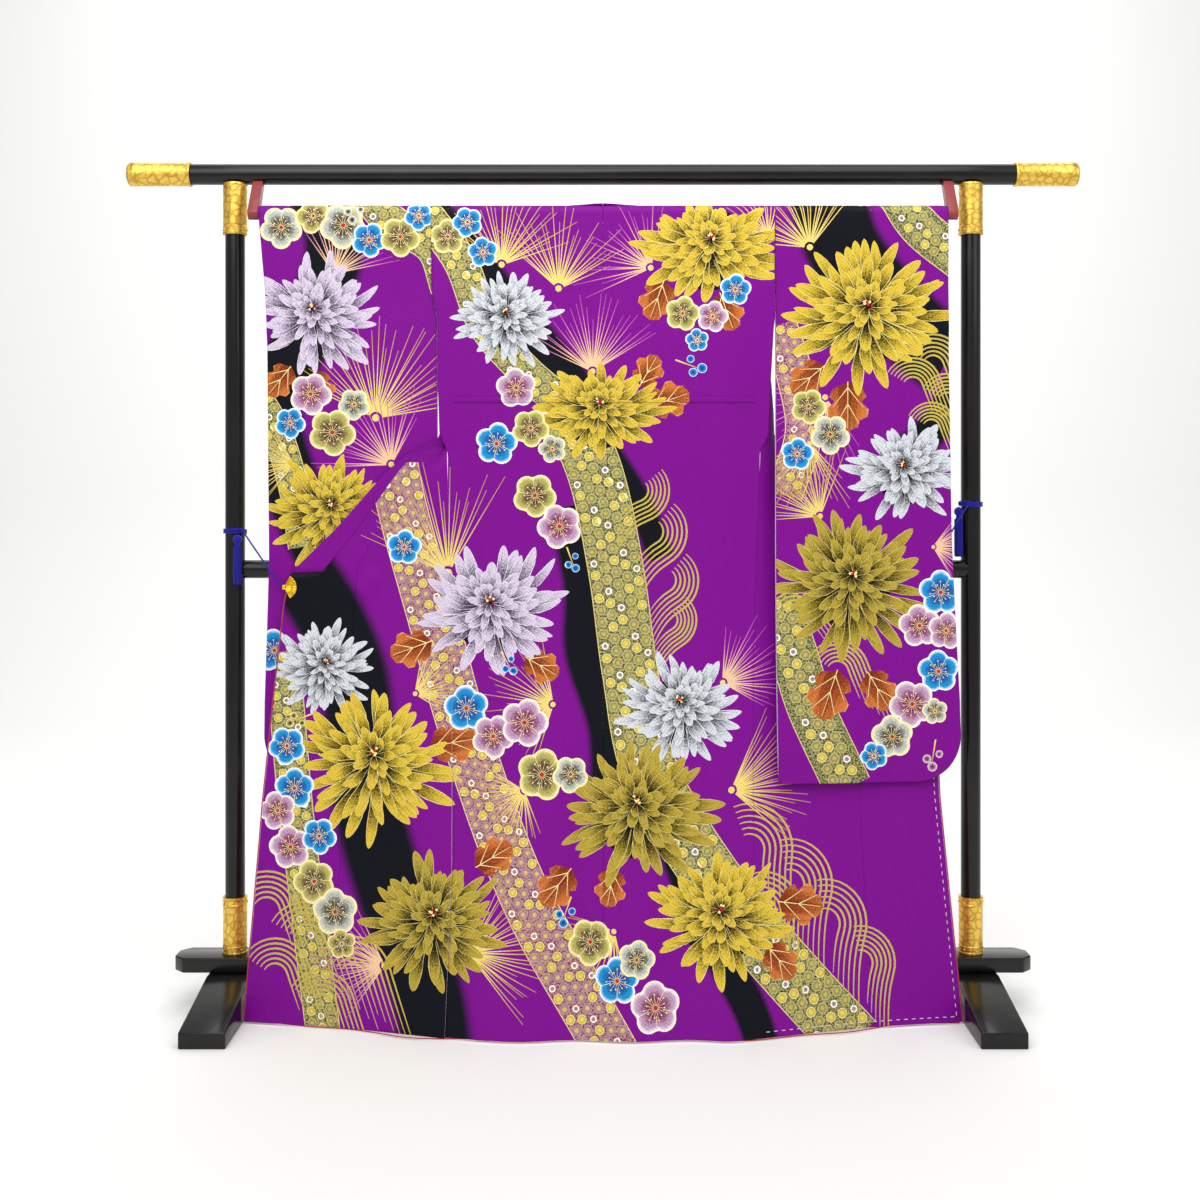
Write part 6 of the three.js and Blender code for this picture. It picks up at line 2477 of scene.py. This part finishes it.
@dataclass(frozen=True)
class BastingStitches:
    """White tacking thread along the edges of a new robe, set out stitch by stitch by Geometry Nodes."""

    thread: Material
    garment: Furisode
    stitch: float = 7.0
    step: float = 15.0
    width: float = 1.1
    inset: float = 10.0

    def build(self) -> None:
        """Sew along the right front's free edge and along the hem beside it."""
        front = self.garment.fronts[Side.RIGHT]
        heights = np.arange(20.0, 800.0, self.step)
        edge = np.full_like(heights, front.WIDTH - self.inset)
        self.run("edge", front, edge, heights)
        across = np.arange(12.0, front.WIDTH - 16, self.step)
        self.run("hem", front, across, np.full_like(across, HEM_Z + self.inset))

    def run(self, name: str, surface: Surface, u: Array, h: Array) -> None:
        """Sew one row.

        Args:
            name: What the row lies along.
            surface: The cloth that it is sewn in.
            u: The stitches' places across.
            h: Their heights.
        """
        normals = surface.normals(u, h)
        places = surface.mid(u, h) + normals * (WALL / 2 + 0.35)
        along = np.gradient(places, axis=0)
        along /= np.linalg.norm(along, axis=1, keepdims=True)
        tree, start, end = start_geometry(f"stitch_{name}_nodes", "Stitch", "Width")
        run = add_node(tree, "GeometryNodeInputNamedAttribute", {"Name": "run"}, data_type="FLOAT_VECTOR")
        box = add_node(tree, "GeometryNodeMeshCylinder", {"Vertices": 8, "Side Segments": 3})
        tree.links.new(start.outputs["Stitch"], box.inputs["Depth"])
        tree.links.new(start.outputs["Width"], box.inputs["Radius"])
        turned = add_node(
            tree, "FunctionNodeAlignRotationToVector", {"Vector": run.outputs["Attribute"]}, axis="Z"
        )
        on = add_node(
            tree,
            "GeometryNodeInstanceOnPoints",
            {
                "Points": start.outputs["Geometry"], "Instance": box.outputs["Mesh"],
                "Rotation": turned.outputs[0]
            },
        )
        finish_geometry(tree, on.outputs["Instances"], end, self.thread)
        seed = new_piece(f"stitch_{name}_places", places, [], [])
        attribute = seed.data.attributes.new("run", "FLOAT_VECTOR", "POINT")
        attribute.data.foreach_set("vector", along.astype(np.float32).ravel())
        made = bake_nodes(
            seed, tree, {"Stitch": self.stitch * MM, "Width": self.width / 2 * MM}, f"basting_{name}"
        )
        hide_with(made, [])
        log.info("basting_%s: %d stitches", name, len(places))


@dataclass(frozen=True)
class Studio:
    """A pale floor and wall, and soft lights in front, above and at the sides."""

    paint: Material
    floor_half: float = 6.0
    wall_y: float = 4.4

    def build(self) -> None:
        """Make the floor, the wall and the lights."""
        half, wall, high = self.floor_half, self.wall_y, 5.0
        curve = 1.0
        profile = [(-half, 0.0), (wall - curve, 0.0)]
        for k in range(1, 12):
            turn = k / 12 * math.pi / 2
            profile.append((wall - curve + curve * math.sin(turn), curve - curve * math.cos(turn)))
        profile += [(wall, curve), (wall, high)]
        points = [(x, y, z) for y, z in profile for x in (-half, half)]
        faces = [[2 * k, 2 * k + 1, 2 * k + 3, 2 * k + 2] for k in range(len(profile) - 1)]
        sweep = new_piece("studio_sweep", np.array(points) / MM, faces, [self.paint])
        self.light("front_light", (-1.2, -3.2, 3.3), (0, 0, 1.5), 2.8, 52.0)
        self.light("side_light", (2.6, -2.2, 2.7), (0, 0, 1.4), 2.2, 24.0)
        self.light("top_light", (0.0, -1.2, 3.2), (0, 0, 1.3), 2.4, 40.0)
        self.light("wall_light", (0.0, 2.2, 4.2), (0, 4.2, 0.9), 3.4, 95.0)
        world = bpy.data.worlds.new("studio_air")
        world.use_nodes = True
        sky = world.node_tree.nodes["Background"]
        sky.inputs["Color"].default_value = linear(0xFFFFFF)
        sky.inputs["Strength"].default_value = 0.55
        bpy.context.scene.world = world

    def light(
        self, name: str, place: Sequence[float], aim: Sequence[float], size: float, power: float
    ) -> None:
        """Set one square soft light that points at a place."""
        lamp = bpy.data.lights.new(name, "AREA")
        lamp.energy, lamp.size = power, size
        obj = bpy.data.objects.new(name, lamp)
        obj.location = place
        obj.rotation_euler = (Vector(aim) - Vector(place)).to_track_quat("-Z", "Y").to_euler()
        bpy.context.scene.collection.objects.link(obj)


@dataclass(frozen=True)
class Camera:
    """The photograph's view: level, in front of the middle."""

    place: tuple[float, float, float] = (-0.0058, -3.06, 1.02)
    lens: float = 46.5
    shift_y: float = -0.0958

    def build(self) -> None:
        """Set the camera."""
        data = bpy.data.cameras.new("camera")
        data.sensor_width, data.lens = 36.0, self.lens
        data.shift_y = self.shift_y
        obj = bpy.data.objects.new("camera", data)
        obj.location = self.place
        obj.rotation_euler = (math.pi / 2, 0, 0)
        bpy.context.scene.collection.objects.link(obj)
        bpy.context.scene.camera = obj


def main() -> None:
    """Build the furisode, its stand and its studio, and measure the result."""
    logging.basicConfig(level=logging.INFO, format="%(message)s")
    bpy.context.scene.view_settings.view_transform = "Standard"
    black = Lacquer("black_lacquer", 0x0B0A0A, 0.16, 0x1E1B19, 0.12).build()
    red = Lacquer("red_lacquer", 0x8C3436, 0.34, 0xA2595A, 0.25).build()
    gilt = GiltBrass().build()
    leaf = GiltBrass("gold_leaf", 0xF8D232, 0xC9961C, 30.0).build()
    cord = TwistedCord().build()
    silk = PrintedSilk().build()
    pale = PlainSilk("pale_lining_silk", 0xE9E4E8, 0xD3CBD4).build()
    red_silk = PlainSilk("red_silk", 0xC4182C, 0x8C0F20).build()
    thread = PlainSilk("white_thread", 0xFBFAF6, 0xE4E2DC).build()
    garment = Furisode(silk, pale, red_silk)
    garment.build()
    stand = KimonoStand(black, gilt, red)
    stand.build()
    CordsAndClips(cord, leaf, garment, stand).build()
    nails = NailHeads(gilt)
    for side in Side:
        ring = [k * math.pi / 4 for k in range(8)]
        reach = stand.post_radius + stand.ferrule_wall + 0.3
        x = side.sign * stand.post_x
        heights = (stand.top_ferrule_from + 10, stand.bottom_ferrule_to - 10, stand.post_low + 10)
        nails.build(
            f"nails_{side.value}",
            [(x + reach * math.cos(a), reach * math.sin(a), z) for z in heights for a in ring],
        )
    BastingStitches(thread, garment).build()
    Studio(StudioPaint().build()).build()
    Camera().build()


if __name__ == "__main__":
    main()
